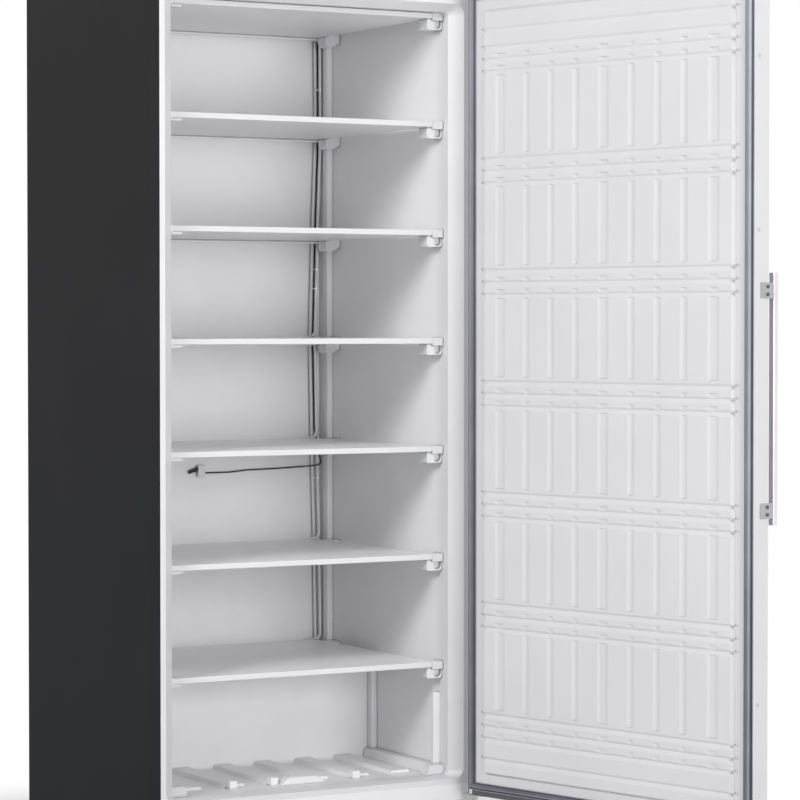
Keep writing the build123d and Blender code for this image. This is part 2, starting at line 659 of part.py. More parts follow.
with BuildPart() as tube_sleeves:                    # bands round both tubes
    for place in BAND_PLACES:
        middle_x = pair_x(LIP_Z + place)
        centres = ((middle_x - PAIR_GAP / 2, RISER_Y), (middle_x + PAIR_GAP / 2, LINK_Y))
        with BuildSketch(Plane.XY.offset(LIP_Z + place)):
            with Locations(*centres):
                Circle(TUBE_R + BAND_WALL)
            make_hull()
            with Locations(*centres):
                Circle(TUBE_R + SEAT_GAP / 2, mode=Mode.SUBTRACT)
        extrude(amount=BAND_H)
write(tube_sleeves.part, "tube_sleeves")

CLIP_MID_Z = LIP_Z + SENSOR_Z - CLIP_H / 3
SENSOR_START = Vector(CLIP_X, BACK_Y - CLIP_D / 2, LIP_Z + SENSOR_Z - 2)
SENSOR_WAY = Vector(-SENSOR_L, 0, -SENSOR_DROP).normalized()

with BuildPart() as temperature_sensor:
    rod(SENSOR_START, SENSOR_WAY, SENSOR_R, SENSOR_L)
    fillet(temperature_sensor.edges().sort_by(Axis.X)[0], SENSOR_R / 2)
write(temperature_sensor.part, "temperature_sensor")

with BuildPart() as sensor_clip:
    block((CLIP_X - CLIP_W / 2, BACK_Y - CLIP_D, CLIP_MID_Z - CLIP_H / 2),
          (CLIP_X + CLIP_W / 2, BACK_Y, CLIP_MID_Z + CLIP_H / 2))
    fillet(sensor_clip.edges().filter_by(Axis.Y), EDGE_R)
    rod(SENSOR_START, SENSOR_WAY, SENSOR_R + SEAT_GAP / 2, CLIP_W, Mode.SUBTRACT)
write(sensor_clip.part, "sensor_clip")

with BuildPart() as sensor_lead:                     # along the rear wall, across the tubes and up between
    lead_y = BACK_Y - LEAD_R - SEAT_GAP
    route = [(CLIP_X + CLIP_W / 2, lead_y, LIP_Z + LEAD_ROUTE[0][1])]
    route += [(x, lead_y, LIP_Z + height) for x, height in LEAD_ROUTE]
    loop_y = LINK_Y - TUBE_R - LEAD_R - SEAT_GAP
    route += [(pair_x(LIP_Z + height) + across_x, loop_y, LIP_Z + height)
              for across_x, height in zip(LEAD_LOOP, LEAD_LOOP_RISE)]
    route.append((PAIR_X[4] + LEAD_LOOP[1], BACK_Y - LEAD_SETBACK, SHELF_Z[4] - LEAD_PASS))
    bends = [LEAD_BEND] * (len(route) - 1)
    between_y = BACK_Y - LEAD_R - EDGE_R
    route.append((pair_x(MID_Z[4] + 3 * LEAD_PASS) + LEAD_BETWEEN, between_y, MID_Z[4] + 3 * LEAD_PASS))
    route += [(x + LEAD_BETWEEN, between_y, height) for x, height in zip(PAIR_X[3::-1], MID_Z[3::-1])]
    route[-1] = (PAIR_X[0] + LEAD_BETWEEN, between_y, CEIL_Z - CORNER_R)
    pipe(route, bends + [SLANT_R] * (len(route) - 2 - len(bends)), LEAD_R)
write(sensor_lead.part, "sensor_lead")

# ------------------------------------------------------------ base frame, feet and rollers
FOOT_Y = FRONT_Y + FOOT_SETBACK
ROLLER_Y = REAR_Y - ROLLER_FROM_BACK
BEAM_Y = FOOT_Y - BEAM_W / 2
RAIL_TOP = PAN_Z - SHEET
DECK_REAR = REAR_Y - RAIL_BACK - RAIL_T
GLAND = (GLAND_X, DECK_REAR + RAIL_T / 2, DECK_Z + DECK_LIP / 2 + RAIL_T)
CHEEK_X = ROLLER_W / 2 + SEAT_GAP + RAIL_T / 2
GROMMETS = [(COMP_X + sx * COMP_BOLT[0] / 2, COMP_Y + sy * COMP_BOLT[1] / 2)
            for sx in (-1, 1) for sy in (-1, 1)]

with BuildPart() as base_frame:                      # two rails, a front beam and the compressor deck
    web = SKIN_X - RAIL_T / 2
    for side in (-1, 1):
        folded(facing(FRONT_Y + RAIL_SETBACK),
               [(side * (SKIN_X - RAIL_W), RAIL_TOP - RAIL_T / 2), (side * web, RAIL_TOP - RAIL_T / 2),
                (side * web, RAIL_LOW + RAIL_T / 2), (side * (SKIN_X - RAIL_W), RAIL_LOW + RAIL_T / 2)],
               RAIL_T, RAIL_SETBACK + RAIL_BACK - CAB_D)
        rod((side * RAIL_X, FOOT_Y, RAIL_LOW + RAIL_T), (0, 0, 1), NUT_R, NUT_H)
        for cheek in (-CHEEK_X, CHEEK_X):
            with BuildSketch(across(side * RAIL_X + cheek - RAIL_T / 2)):
                with Locations((ROLLER_Y, (RAIL_LOW + CHEEK_LOW) / 2)):
                    Rectangle(CHEEK_D, RAIL_LOW - CHEEK_LOW)
                with Locations((ROLLER_Y, ROLLER_R)):
                    Circle(AXLE_R + RUN_FIT, mode=Mode.SUBTRACT)
            extrude(amount=RAIL_T)
        rod((side * RAIL_X, FOOT_Y, RAIL_LOW), (0, 0, 1), STEM_R + RUN_FIT, RAIL_T + NUT_H, Mode.SUBTRACT)
    folded(across(-SKIN_X + RAIL_T),
           [(BEAM_Y, RAIL_TOP - BEAM_H), (BEAM_Y, RAIL_TOP - RAIL_T / 2),
            (BEAM_Y + BEAM_W, RAIL_TOP - RAIL_T / 2), (BEAM_Y + BEAM_W, RAIL_TOP - BEAM_H)],
           RAIL_T, 2 * (SKIN_X - RAIL_T))
    folded(across(-SKIN_X + RAIL_T),
           [(MACHINE_Y + SILL_FOLD, DECK_Z + RAIL_T / 2), (DECK_REAR, DECK_Z + RAIL_T / 2),
            (DECK_REAR, DECK_Z + DECK_LIP)],
           RAIL_T, 2 * (SKIN_X - RAIL_T))
    rod(GLAND, (0, -1, 0), GLAND_R - GLAND_RIM + SEAT_GAP / 2, RAIL_T, Mode.SUBTRACT)
write(base_frame.part, "base_frame")

for side, name in ((-1, "foot_left"), (1, "foot_right")):
    with BuildPart() as foot:                        # screwed into its nut: pad, hexagon and stem
        with BuildSketch(Plane.XY):
            with Locations((side * RAIL_X, FOOT_Y)):
                Circle(FOOT_R)
        extrude(amount=FOOT_H, taper=FOOT_TAPER)
        with BuildSketch(Plane.XY.offset(FOOT_H)):
            with Locations((side * RAIL_X, FOOT_Y)):
                RegularPolygon(STEM_R * 1.5, 6)
        extrude(amount=FOOT_H)
        rod((side * RAIL_X, FOOT_Y, 2 * FOOT_H), (0, 0, 1), STEM_R, STEM_TOP - 2 * FOOT_H)
    write(foot.part, name)

for side, name in ((-1, "roller_left"), (1, "roller_right")):
    with BuildPart() as roller:
        rod((side * RAIL_X - ROLLER_W / 2, ROLLER_Y, ROLLER_R), (1, 0, 0), ROLLER_R, ROLLER_W)
        chamfer(roller.edges().filter_by(GeomType.CIRCLE), EDGE_R)
        rod((side * RAIL_X - ROLLER_W / 2, ROLLER_Y, ROLLER_R), (1, 0, 0), AXLE_R + RUN_FIT,
            ROLLER_W, Mode.SUBTRACT)
    write(roller.part, name)

with BuildPart() as roller_axles:                    # riveted through the cheeks
    reach = CHEEK_X + RAIL_T / 2
    for side in (-1, 1):
        start = side * RAIL_X - reach
        rod((start, ROLLER_Y, ROLLER_R), (1, 0, 0), AXLE_R, 2 * reach)
        rod((start, ROLLER_Y, ROLLER_R), (-1, 0, 0), AXLE_HEAD_R, AXLE_HEAD)
        rod((start + 2 * reach, ROLLER_Y, ROLLER_R), (1, 0, 0), AXLE_HEAD_R, AXLE_HEAD)
write(roller_axles.part, "roller_axles")

# ------------------------------------------------------------ machine space and condenser
STUB_Y = {"suction": COMP_Y + STUB_SIDE, "discharge": COMP_Y - STUB_SIDE}
STUB_Z = {"suction": COMP_Z + SUCTION_H, "discharge": COMP_Z + DISCHARGE_H}
STUB_X = COMP_X + COMP_R + STUB_L

SEAM_Z = COMP_Z + COMP_H / 2

with BuildPart() as compressor:                      # drawn shell with its weld seam, on a plate
    rod((COMP_X, COMP_Y, COMP_Z), (0, 0, 1), COMP_R, COMP_H)
    fillet(compressor.edges(), COMP_DOME)
    with BuildSketch(Plane.XY.offset(SEAM_Z - COMP_SEAM)):
        with Locations((COMP_X, COMP_Y)):
            Circle(COMP_R + COMP_SEAM)
    extrude(amount=2 * COMP_SEAM)
    with BuildSketch(Plane.XY.offset(COMP_Z)):
        with Locations((COMP_X, COMP_Y)):
            RectangleRounded(*COMP_PLATE, COMP_PLATE_R)
        with Locations(*GROMMETS):
            Circle(GROMMET_NECK + SEAT_GAP / 2, mode=Mode.SUBTRACT)
    extrude(amount=RAIL_T)
    for stub in STUB_Y:
        rod((STUB_X, STUB_Y[stub], STUB_Z[stub]), (-1, 0, 0), STUB_R, STUB_L + COMP_R / 4)
write(compressor.part, "compressor")

with BuildPart() as compressor_grommets:
    for x, y in GROMMETS:
        rod((x, y, DECK_Z + RAIL_T), (0, 0, 1), GROMMET_R, GROMMET_H)
        rod((x, y, COMP_Z), (0, 0, 1), GROMMET_NECK, 2 * RAIL_T)
write(compressor_grommets.part, "compressor_grommets")

with BuildPart() as terminal_cover:                  # clipped over the relay on the side of the shell
    cover_x = COMP_X - COMP_R
    block((cover_x - COVER_D + COMP_DOME / 2, COMP_Y - COVER_W / 2, SEAM_Z - COVER_H),
          (cover_x + COMP_DOME / 2, COMP_Y + COVER_W / 2, SEAM_Z - COMP_SEAM))
    fillet(terminal_cover.edges().filter_by(Axis.Z).group_by(Axis.X)[0], COMP_SEAM)
    add(compressor.part, mode=Mode.SUBTRACT)
write(terminal_cover.part, "terminal_cover")

DRIER_X = -COND_W / 2
DRIER_BOTTOM = DRIER_TOP - DRIER_L

with BuildPart() as filter_drier:                    # spun copper bottle with a taper at both ends
    with BuildSketch(Plane((DRIER_X, LINK_Y, 0), x_dir=(1, 0, 0), z_dir=(0, -1, 0))):
        with BuildLine():
            Polyline((0, DRIER_BOTTOM), (COND_R, DRIER_BOTTOM), (DRIER_R, DRIER_BOTTOM + 2 * DRIER_R),
                     (DRIER_R, DRIER_TOP - 2 * DRIER_R), (COND_R, DRIER_TOP), (0, DRIER_TOP), close=True)
        make_face()
    revolve(axis=Axis((DRIER_X, LINK_Y, 0), (0, 0, 1)))
write(filter_drier.part, "filter_drier")

with BuildPart() as suction_line:
    pipe([(STUB_X, STUB_Y["suction"], STUB_Z["suction"]), (RISER_X[-1], STUB_Y["suction"], STUB_Z["suction"]),
          (RISER_X[-1], RISER_Y, STUB_Z["suction"]), (RISER_X[-1], RISER_Y, LINE_LOW)],
         LINE_BEND / 2, TUBE_R)
write(suction_line.part, "suction_line")

with BuildPart() as capillary_tube:                  # drier to the feed of the lowest plate
    low, high = DRIER_BOTTOM - LINE_BEND, LINE_LOW - LINE_BEND
    pipe([(DRIER_X, LINK_Y, DRIER_BOTTOM), (DRIER_X, LINK_Y, low), (DRIER_X + 2 * LINE_BEND, LINK_Y, low),
          (DRIER_X + 2 * LINE_BEND, LINK_Y, high), (LINK_X[-1], LINK_Y, high),
          (LINK_X[-1], LINK_Y, LINE_LOW)],
         LINE_BEND / 2, CAPILLARY_R)
write(capillary_tube.part, "capillary_tube")

with BuildPart() as discharge_line:                  # compressor to the foot of the condenser feed
    y, z = STUB_Y["discharge"], STUB_Z["discharge"]
    pipe([(STUB_X, y, z), (COND_SIDE, y, z), (COND_SIDE, COND_Y, z), (COND_SIDE, COND_Y, MACHINE_Z)],
         LINE_BEND, COND_R)
write(discharge_line.part, "discharge_line")

with BuildPart() as condenser_tube:                  # up one side, then to and fro down the back
    route = [(COND_SIDE, COND_Y, MACHINE_Z), (COND_SIDE, COND_Y, COND_TOP)]
    for run in range(COND_RUNS):
        side = -1 if run % 2 == 0 else 1
        height = COND_TOP - run * COND_PITCH
        route += [(side * COND_W / 2, COND_Y, height), (side * COND_W / 2, COND_Y, height - COND_PITCH)]
    route[-1] = (DRIER_X, COND_Y, LINE_LOW + LINE_BEND)
    route += [(DRIER_X, LINK_Y, LINE_LOW + LINE_BEND), (DRIER_X, LINK_Y, DRIER_TOP)]
    pipe(route, [COND_BEND] * (len(route) - 4) + [LINE_BEND, LINE_BEND], COND_R)
write(condenser_tube.part, "condenser_tube")

COND_LOW = COND_TOP - (COND_RUNS - 1) * COND_PITCH
WIRE_Y = COND_Y + COND_R + WIRE / 2 + SEAT_GAP / 4
with BuildPart() as condenser_wires:                 # upright fins welded across the runs
    with BuildSketch(Plane.XY.offset(COND_LOW - WIRE_OVERHANG)):
        with Locations((0, WIRE_Y)):
            with GridLocations((COND_W - 4 * COND_BEND) / (WIRE_COUNT - 1), 1, WIRE_COUNT, 1):
                RegularPolygon(WIRE / 2, 6)
    extrude(amount=COND_TOP - COND_LOW + 2 * WIRE_OVERHANG)
write(condenser_wires.part, "condenser_wires")

with BuildPart() as condenser_brackets:              # Z strips from the back panel to the runs
    for height in (COND_TOP, COND_LOW):
        for side in (-1, 1):
            left = side * (COND_W / 2 - COND_BEND) - HANGER_W / 2
            base, seat = PANEL_Y + 1.5 * SHEET, COND_Y - COND_R - SEAT_GAP - SHEET / 2
            folded(across(left),
                   [(base, height + 2 * HANGER_W), (base, height + HANGER_W),
                    (seat, height + HANGER_W), (seat, height - HANGER_W / 2)],
                   SHEET, HANGER_W)
write(condenser_brackets.part, "condenser_brackets")

with BuildPart() as mains_inlet:                     # gland in the rear lip of the deck
    rod(GLAND, (0, 1, 0), GLAND_R, GLAND_RIM)
    rod(GLAND, (0, -1, 0), GLAND_R - GLAND_RIM, GLAND_L)
    rod(GLAND, (0, 1, 0), GLAND_RIM, GLAND_RIM, Mode.SUBTRACT)
    rod(GLAND, (0, -1, 0), GLAND_RIM, GLAND_L, Mode.SUBTRACT)
write(mains_inlet.part, "mains_inlet")

# ------------------------------------------------------------ kick plate and controls
KICK_TOP = PAN_Z - 2 * SHEET - SEAT_GAP
KICK_X = FLANGE_X - KICK_GAP
SWITCH_BODY = (SWITCH_W / 2 + SWITCH_WALL, SWITCH_H / 2 + SWITCH_WALL)

with BuildPart() as kick_plate:
    folded(across(-KICK_X),
           [(FRONT_Y + KICK_FOLD, KICK_TOP - KICK_T / 2), (FRONT_Y + KICK_T / 2, KICK_TOP - KICK_T / 2),
            (FRONT_Y + KICK_T / 2, KICK_LOW + KICK_T / 2), (FRONT_Y + KICK_FOLD, KICK_LOW + KICK_T / 2)],
           KICK_T, 2 * KICK_X)
    with BuildSketch(upright(FRONT_Y)):
        with Locations((-SLOT_X, CONTROL_Z)):
            with GridLocations(SLOT_PITCH, 3 * SLOT_H, SLOT_COUNT, SLOT_ROWS):
                SlotOverall(SLOT_W, SLOT_H)
        with Locations((-KNOB_X, CONTROL_Z)):
            Circle(SHAFT_R + SEAT_GAP)
        with Locations((-SWITCH_X, CONTROL_Z)):
            Rectangle(2 * (SWITCH_BODY[0] + SEAT_GAP), 2 * (SWITCH_BODY[1] + SEAT_GAP))
    extrude(amount=KICK_T, mode=Mode.SUBTRACT)
write(kick_plate.part, "kick_plate")

with BuildPart() as thermostat_body:                 # behind the kick plate, its shaft through it
    block((KNOB_X - THERMOSTAT / 2, FRONT_Y + KICK_T, CONTROL_Z - THERMOSTAT / 2),
          (KNOB_X + THERMOSTAT / 2, FRONT_Y + KICK_T + THERMOSTAT_D, CONTROL_Z + THERMOSTAT / 2))
    chamfer(thermostat_body.edges().filter_by(Axis.Y), 2 * EDGE_R)
    rod((KNOB_X, FRONT_Y + KICK_T, CONTROL_Z), (0, -1, 0), SHAFT_R, KICK_T + KNOB_L - EDGE_R)
write(thermostat_body.part, "thermostat_body")

with BuildPart() as thermostat_knob:
    knob_rear = FRONT_Y - SEAT_GAP
    with BuildSketch(facing(knob_rear)):
        with Locations((KNOB_X, CONTROL_Z)):
            Circle(KNOB_R)
    extrude(amount=KNOB_L / 2, taper=KNOB_TAPER)
    with BuildSketch(facing(knob_rear - KNOB_L / 2)):
        with Locations((KNOB_X, CONTROL_Z)):
            SlotOverall(2 * KNOB_R - KNOB_GRIP, KNOB_GRIP, rotation=90)
    extrude(amount=KNOB_L / 2)
    fillet(thermostat_knob.faces().sort_by(Axis.Y)[0].edges(), EDGE_R / 2)
    rod((KNOB_X, knob_rear, CONTROL_Z), (0, -1, 0), SHAFT_R + RUN_FIT, KNOB_L - EDGE_R, Mode.SUBTRACT)
write(thermostat_knob.part, "thermostat_knob")

PIVOT_Y = FRONT_Y - BEZEL / 2
ROCKER_R = SWITCH_H / 2 - SEAT_GAP
with BuildPart() as power_switch:                    # open box pushed through the kick plate
    half_w, half_h = SWITCH_BODY
    block((SWITCH_X - half_w, FRONT_Y, CONTROL_Z - half_h),
          (SWITCH_X + half_w, FRONT_Y + SWITCH_D, CONTROL_Z + half_h))
    block((SWITCH_X - half_w - BEZEL, FRONT_Y - BEZEL, CONTROL_Z - half_h - BEZEL),
          (SWITCH_X + half_w + BEZEL, FRONT_Y, CONTROL_Z + half_h + BEZEL))
    block((SWITCH_X - SWITCH_W / 2, FRONT_Y - BEZEL, CONTROL_Z - SWITCH_H / 2),
          (SWITCH_X + SWITCH_W / 2, FRONT_Y + SWITCH_H / 2, CONTROL_Z + SWITCH_H / 2), Mode.SUBTRACT)
    rod((SWITCH_X - SWITCH_W / 2 - BEZEL, PIVOT_Y, CONTROL_Z), (1, 0, 0), ROCKER_PIN + RUN_FIT,
        SWITCH_W + 2 * BEZEL, Mode.SUBTRACT)
write(power_switch.part, "power_switch")

with BuildPart() as switch_rocker:
    rocker_w = SWITCH_W - 2 * SEAT_GAP
    with BuildSketch(across(SWITCH_X - rocker_w / 2)):
        with BuildLine():
            CenterArc((PIVOT_Y, CONTROL_Z), ROCKER_R, -90, 180)
            Polyline((PIVOT_Y, CONTROL_Z - ROCKER_R), (PIVOT_Y - 2 * BEZEL, CONTROL_Z - ROCKER_R + SEAT_GAP),
                     (PIVOT_Y - BEZEL, CONTROL_Z), (PIVOT_Y - 2 * BEZEL, CONTROL_Z + ROCKER_R - SEAT_GAP),
                     (PIVOT_Y, CONTROL_Z + ROCKER_R))
        make_face()
    extrude(amount=rocker_w)
    rod((SWITCH_X - SWITCH_W / 2 - BEZEL / 2, PIVOT_Y, CONTROL_Z), (1, 0, 0), ROCKER_PIN, SWITCH_W + BEZEL)
write(switch_rocker.part.rotate(Axis((SWITCH_X, PIVOT_Y, CONTROL_Z), (1, 0, 0)), ROCKER_TILT),
      "switch_rocker")

# ------------------------------------------------------------ hinges
def hinge_outline(length):
    """Plate outline from two rounded corners on the cabinet to the pin."""
    with Locations((AXIS_X, AXIS_Y)):
        Circle(HINGE_END_R)
    with Locations((AXIS_X, FRONT_Y + 2 * HINGE_BACK_R), (AXIS_X - length, FRONT_Y + 2 * HINGE_BACK_R)):
        Circle(HINGE_END_R)
    make_hull()


with BuildPart() as top_hinge_bracket:               # plate on the top panel with its pin
    with BuildSketch(Plane.XY.offset(CAB_H)):
        hinge_outline(HINGE_LONG)
    extrude(amount=HINGE_PLATE)
    rod((AXIS_X, AXIS_Y, CAB_H), (0, 0, -1), PIN_R, DOOR_TOP_GAP + PIN_DEPTH)
    for x, y in TOP_SCREWS:
        with Locations((x, y, CAB_H + HINGE_PLATE)):
            CounterSinkHole(HINGE_SCREW_R + SEAT_GAP / 2, HINGE_SCREW_HEAD, depth=HINGE_PLATE)
write(top_hinge_bracket.part, "top_hinge_bracket")

with BuildPart() as bottom_hinge_bracket:            # angle on the front frame with its pin
    leg_low = HINGE_LOW_Z - HINGE_LEG
    block((AXIS_X - HINGE_LONG / 2, FRONT_Y - HINGE_PLATE, leg_low),
          (DOOR_X, FRONT_Y, HINGE_LOW_Z + HINGE_PLATE))
    fillet(bottom_hinge_bracket.edges().filter_by(Axis.Y).group_by(Axis.Z)[0], 2 * HINGE_PLATE)
    with BuildSketch(Plane.XY.offset(HINGE_LOW_Z)):
        with Locations((AXIS_X, AXIS_Y)):
            Circle(HINGE_END_R)
        with Locations((DOOR_X - HINGE_PLATE, FRONT_Y - HINGE_PLATE),
                       (AXIS_X - HINGE_LONG / 2 + HINGE_PLATE, FRONT_Y - HINGE_PLATE)):
            Circle(HINGE_PLATE)
        make_hull()
    extrude(amount=HINGE_PLATE)
    rod((AXIS_X, AXIS_Y, HINGE_LOW_Z + HINGE_PLATE), (0, 0, 1), PIN_R, HINGE_GAP + PIN_DEPTH)
    for z in LEG_SCREWS:
        rod((AXIS_X, FRONT_Y, z), (0, -1, 0), HINGE_SCREW_R + SEAT_GAP / 2, HINGE_PLATE, Mode.SUBTRACT)
write(bottom_hinge_bracket.part, "bottom_hinge_bracket")

with BuildPart() as hinge_screws:
    for x, y in TOP_SCREWS:
        rod((x, y, CAB_H + HINGE_PLATE), (0, 0, -1), HINGE_SCREW_R, HINGE_SCREW_L)
        with BuildSketch(Plane.XY.offset(CAB_H + HINGE_PLATE)):
            with Locations((x, y)):
                Circle(HINGE_SCREW_HEAD - SEAT_GAP)
        extrude(amount=-(HINGE_SCREW_HEAD - SEAT_GAP - HINGE_SCREW_R), taper=SINK_TAPER)
    for z in LEG_SCREWS:
        start = (AXIS_X, FRONT_Y - HINGE_PLATE, z)
        rod(start, (0, 1, 0), HINGE_SCREW_R, HINGE_SCREW_L)
        rod(start, (0, -1, 0), HINGE_SCREW_HEAD, HINGE_PLATE)
write(hinge_screws.part, "hinge_screws")

# ------------------------------------------------------------ door, modelled closed
SKIN_LOW, SKIN_HIGH = DOOR_LOW + CAP_T, DOOR_HIGH - CAP_T
HANDLE_X = -DOOR_X - TAB_T                           # outer face of the bar and its brackets
BAR_REAR_Y = DOOR_FRONT_Y - BAR_GAP
TAB_Z = (LIP_Z + BAR_LOW + TAB_LOW_INSET, LIP_Z + BAR_HIGH - TAB_HIGH_INSET - TAB_H)
HANDLE_SCREWS = [(DOOR_FRONT_Y + SCREW_SETBACK, z + TAB_H / 2 + side * SCREW_PITCH / 2)
                 for z in TAB_Z for side in (-1, 1)]
EDGE_PLUGS = [(DOOR_FRONT_Y + PLUG_SETBACK, LIP_Z + height) for height in PLUG_PLACES]


def edge_holes(depth):
    """Holes in the free edge of the door for the handle screws and the plugs."""
    for places, radius in ((HANDLE_SCREWS, SCREW_R), (EDGE_PLUGS, PLUG_R)):
        for y, z in places:
            rod((-DOOR_X, y, z), (1, 0, 0), radius + SEAT_GAP / 2, depth, Mode.SUBTRACT)


with BuildPart() as door_skin:                       # front and edges, folded onto the inner frame
    block((-DOOR_X, DOOR_FRONT_Y, SKIN_LOW), (DOOR_X, DOOR_REAR_Y, SKIN_HIGH))
    front_edges = door_skin.edges().filter_by(Axis.Z).group_by(Axis.Y)[0]
    fillet(front_edges, FOLD_R)
    block((-DOOR_X + SHEET, DOOR_FRONT_Y + SHEET, SKIN_LOW), (DOOR_X - SHEET, DOOR_REAR_Y - SHEET, SKIN_HIGH),
          Mode.SUBTRACT)
    block((-DOOR_X + DOOR_RETURN, DOOR_REAR_Y - SHEET, SKIN_LOW),
          (DOOR_X - DOOR_RETURN, DOOR_REAR_Y, SKIN_HIGH), Mode.SUBTRACT)
    edge_holes(SHEET)
write_on_door(door_skin.part, "door_skin")


def end_cap(end, inward):
    """Moulded cap of one end of the door: plate, lip on the inner face, skirt and hinge boss."""
    wall = SHEET + SEAT_GAP
    skirt_front, skirt_rear = DOOR_FRONT_Y + wall, DOOR_REAR_Y - CAP_LIP_T
    with BuildPart() as cap:
        with BuildSketch(Plane.XY.offset(end)):
            with Locations((0, (DOOR_FRONT_Y + DOOR_REAR_Y) / 2)):
                RectangleRounded(2 * DOOR_X, DOOR_T, FOLD_R)
        extrude(amount=inward * CAP_T)
        with BuildSketch(Plane.XY.offset(end + inward * CAP_T)):
            with Locations((0, (skirt_front + skirt_rear) / 2)):
                Rectangle(2 * (DOOR_X - wall), skirt_rear - skirt_front)
                Rectangle(2 * (DOOR_X - wall - CAP_T), skirt_rear - skirt_front - 2 * CAP_T,
                          mode=Mode.SUBTRACT)
            with Locations((AXIS_X, AXIS_Y)):
                Circle(BOSS_R)
        extrude(amount=inward * CAP_PLUG)
        with BuildSketch(Plane.XY.offset(end)):
            with Locations((0, DOOR_REAR_Y - CAP_LIP_T / 2)):
                Rectangle(2 * (DOOR_X - DOOR_RETURN), CAP_LIP_T)
        extrude(amount=inward * CAP_LIP)
        rod((AXIS_X, AXIS_Y, end), (0, 0, inward), BUSH_R + RUN_FIT, PIN_DEPTH + SEAT_GAP, Mode.SUBTRACT)
    return cap.part


bottom_cap = end_cap(DOOR_LOW, 1)
top_cap = end_cap(DOOR_HIGH, -1)
write_on_door(bottom_cap, "door_bottom_cap")
write_on_door(top_cap, "door_top_cap")

FIELD_X = MOUTH_X - FIELD_MARGIN
GROOVE_Z = [LIP_Z + GROOVE_FIRST + GROOVE_BAND * band - GROOVE_STEP * groove
            for band in range(GROOVE_BANDS) for groove in range(GROOVES_PER_BAND)]
BAND_TOPS, BAND_BOTTOMS = GROOVE_Z[::GROOVES_PER_BAND], GROOVE_Z[GROOVES_PER_BAND - 1::GROOVES_PER_BAND]
FLUTE_RUNS = [(low + FLUTE_ENDS[0], high - FLUTE_ENDS[1]) for low, high in zip(BAND_TOPS, BAND_BOTTOMS[1:])]
FLUTE_RUNS += [(z, z + FLUTE_MARK) for number, z in enumerate(GROOVE_Z) if number % GROOVES_PER_BAND]
GROOVE_Z += [LIP_Z + GROOVE_LOWEST, LIP_Z + GROOVE_HIGHEST]


def field_relief(base_y, grow):
    """Raised field on a base: flutes up it, grooves across it, and notches where they reach its edge."""
    top_y, side_x = base_y + FIELD_H, FIELD_X - grow
    with BuildPart() as field:
        with BuildSketch(upright(base_y)):
            panel(side_x, LIP_Z + FIELD_LOW + grow, LIP_Z + FIELD_HIGH - grow, FIELD_R)
        extrude(amount=FIELD_H, taper=FIELD_SLOPE)
        for low, high in FLUTE_RUNS:
            with BuildSketch(Plane.XY.offset(low - grow)):
                for middle, half, floor in FLUTES:
                    with Locations(*{(-middle, top_y), (middle, top_y)}):
                        Polygon((-half, 0), (-floor, -FLUTE_D), (floor, -FLUTE_D), (half, 0), align=None)
            extrude(amount=high - low + 2 * grow, mode=Mode.SUBTRACT)
        with BuildSketch(across(-FIELD_X)):
            with Locations(*[(top_y, z) for z in GROOVE_Z]):
                Polygon(*GROOVE_PROFILE, align=None)
        extrude(amount=2 * FIELD_X, mode=Mode.SUBTRACT)
        with BuildSketch(upright(base_y)):
            for side in (-1, 1):
                outline = [(side * (side_x + x), z) for x, z in NOTCH]
                with Locations(*[(0, z) for z in GROOVE_Z]):
                    Polygon(*outline, align=None)
        extrude(amount=FIELD_H, taper=-NOTCH_SLOPE, mode=Mode.SUBTRACT)
    return field.part


foam_pad = field_relief(DOOR_REAR_Y - LINER, LINER)  # what fills the raised field from behind

with BuildPart() as door_foam:
    block((-DOOR_X + SHEET, DOOR_FRONT_Y + SHEET, SKIN_LOW), (DOOR_X - SHEET, DOOR_REAR_Y - LINER, SKIN_HIGH))
    add(foam_pad)
    add(bottom_cap, mode=Mode.SUBTRACT)
    add(top_cap, mode=Mode.SUBTRACT)
    for end, inward in ((DOOR_LOW, 1), (DOOR_HIGH, -1)):
        rod((AXIS_X, AXIS_Y, end), (0, 0, inward), BOSS_R, CAP_T + CAP_PLUG, Mode.SUBTRACT)
    edge_holes(PLUG_L + SCREW_L)
write_on_door(door_foam.part, "door_foam")

with BuildPart() as door_liner:                      # thermoformed sheet with its raised field
    block((-DOOR_X + DOOR_RETURN, DOOR_REAR_Y - LINER, DOOR_LOW + CAP_LIP),
          (DOOR_X - DOOR_RETURN, DOOR_REAR_Y, DOOR_HIGH - CAP_LIP))
    add(field_relief(DOOR_REAR_Y, 0))
    length, width, depth = GROOVE_TAIL
    with BuildSketch(upright(DOOR_REAR_Y - depth)):
        for side in (-1, 1):
            with Locations(*[(side * (FIELD_X + length / 2), z) for z in GROOVE_Z]):
                Rectangle(length, width)
            with Locations(*[(side * (FIELD_X + length), z) for z in GROOVE_Z]):
                Circle(width / 2)
    extrude(amount=depth, mode=Mode.SUBTRACT)
    add(foam_pad, mode=Mode.SUBTRACT)
write_on_door(door_liner.part, "door_liner")

SEAL_X = DOOR_X - SEAL_INSET
SEAL_LOW, SEAL_HIGH = DOOR_LOW + SEAL_END_INSET, DOOR_HIGH - SEAL_END_INSET
SEAL_FREE = SEAL_T - SEAL_GAP
MAGNET_INSET = (SEAL_W - MAGNET_W) / 2
MAGNET_Y = DOOR_REAR_Y + SEAL_FREE - MAGNET_T - 2 * MAGNET_PLAY - SHEET


def seal_ring(inset, width):
    """Ring round the door, inset from the outline of the seal."""
    panel(SEAL_X - inset, SEAL_LOW + inset, SEAL_HIGH - inset)
    panel(SEAL_X - inset - width, SEAL_LOW + inset + width, SEAL_HIGH - inset - width, mode=Mode.SUBTRACT)


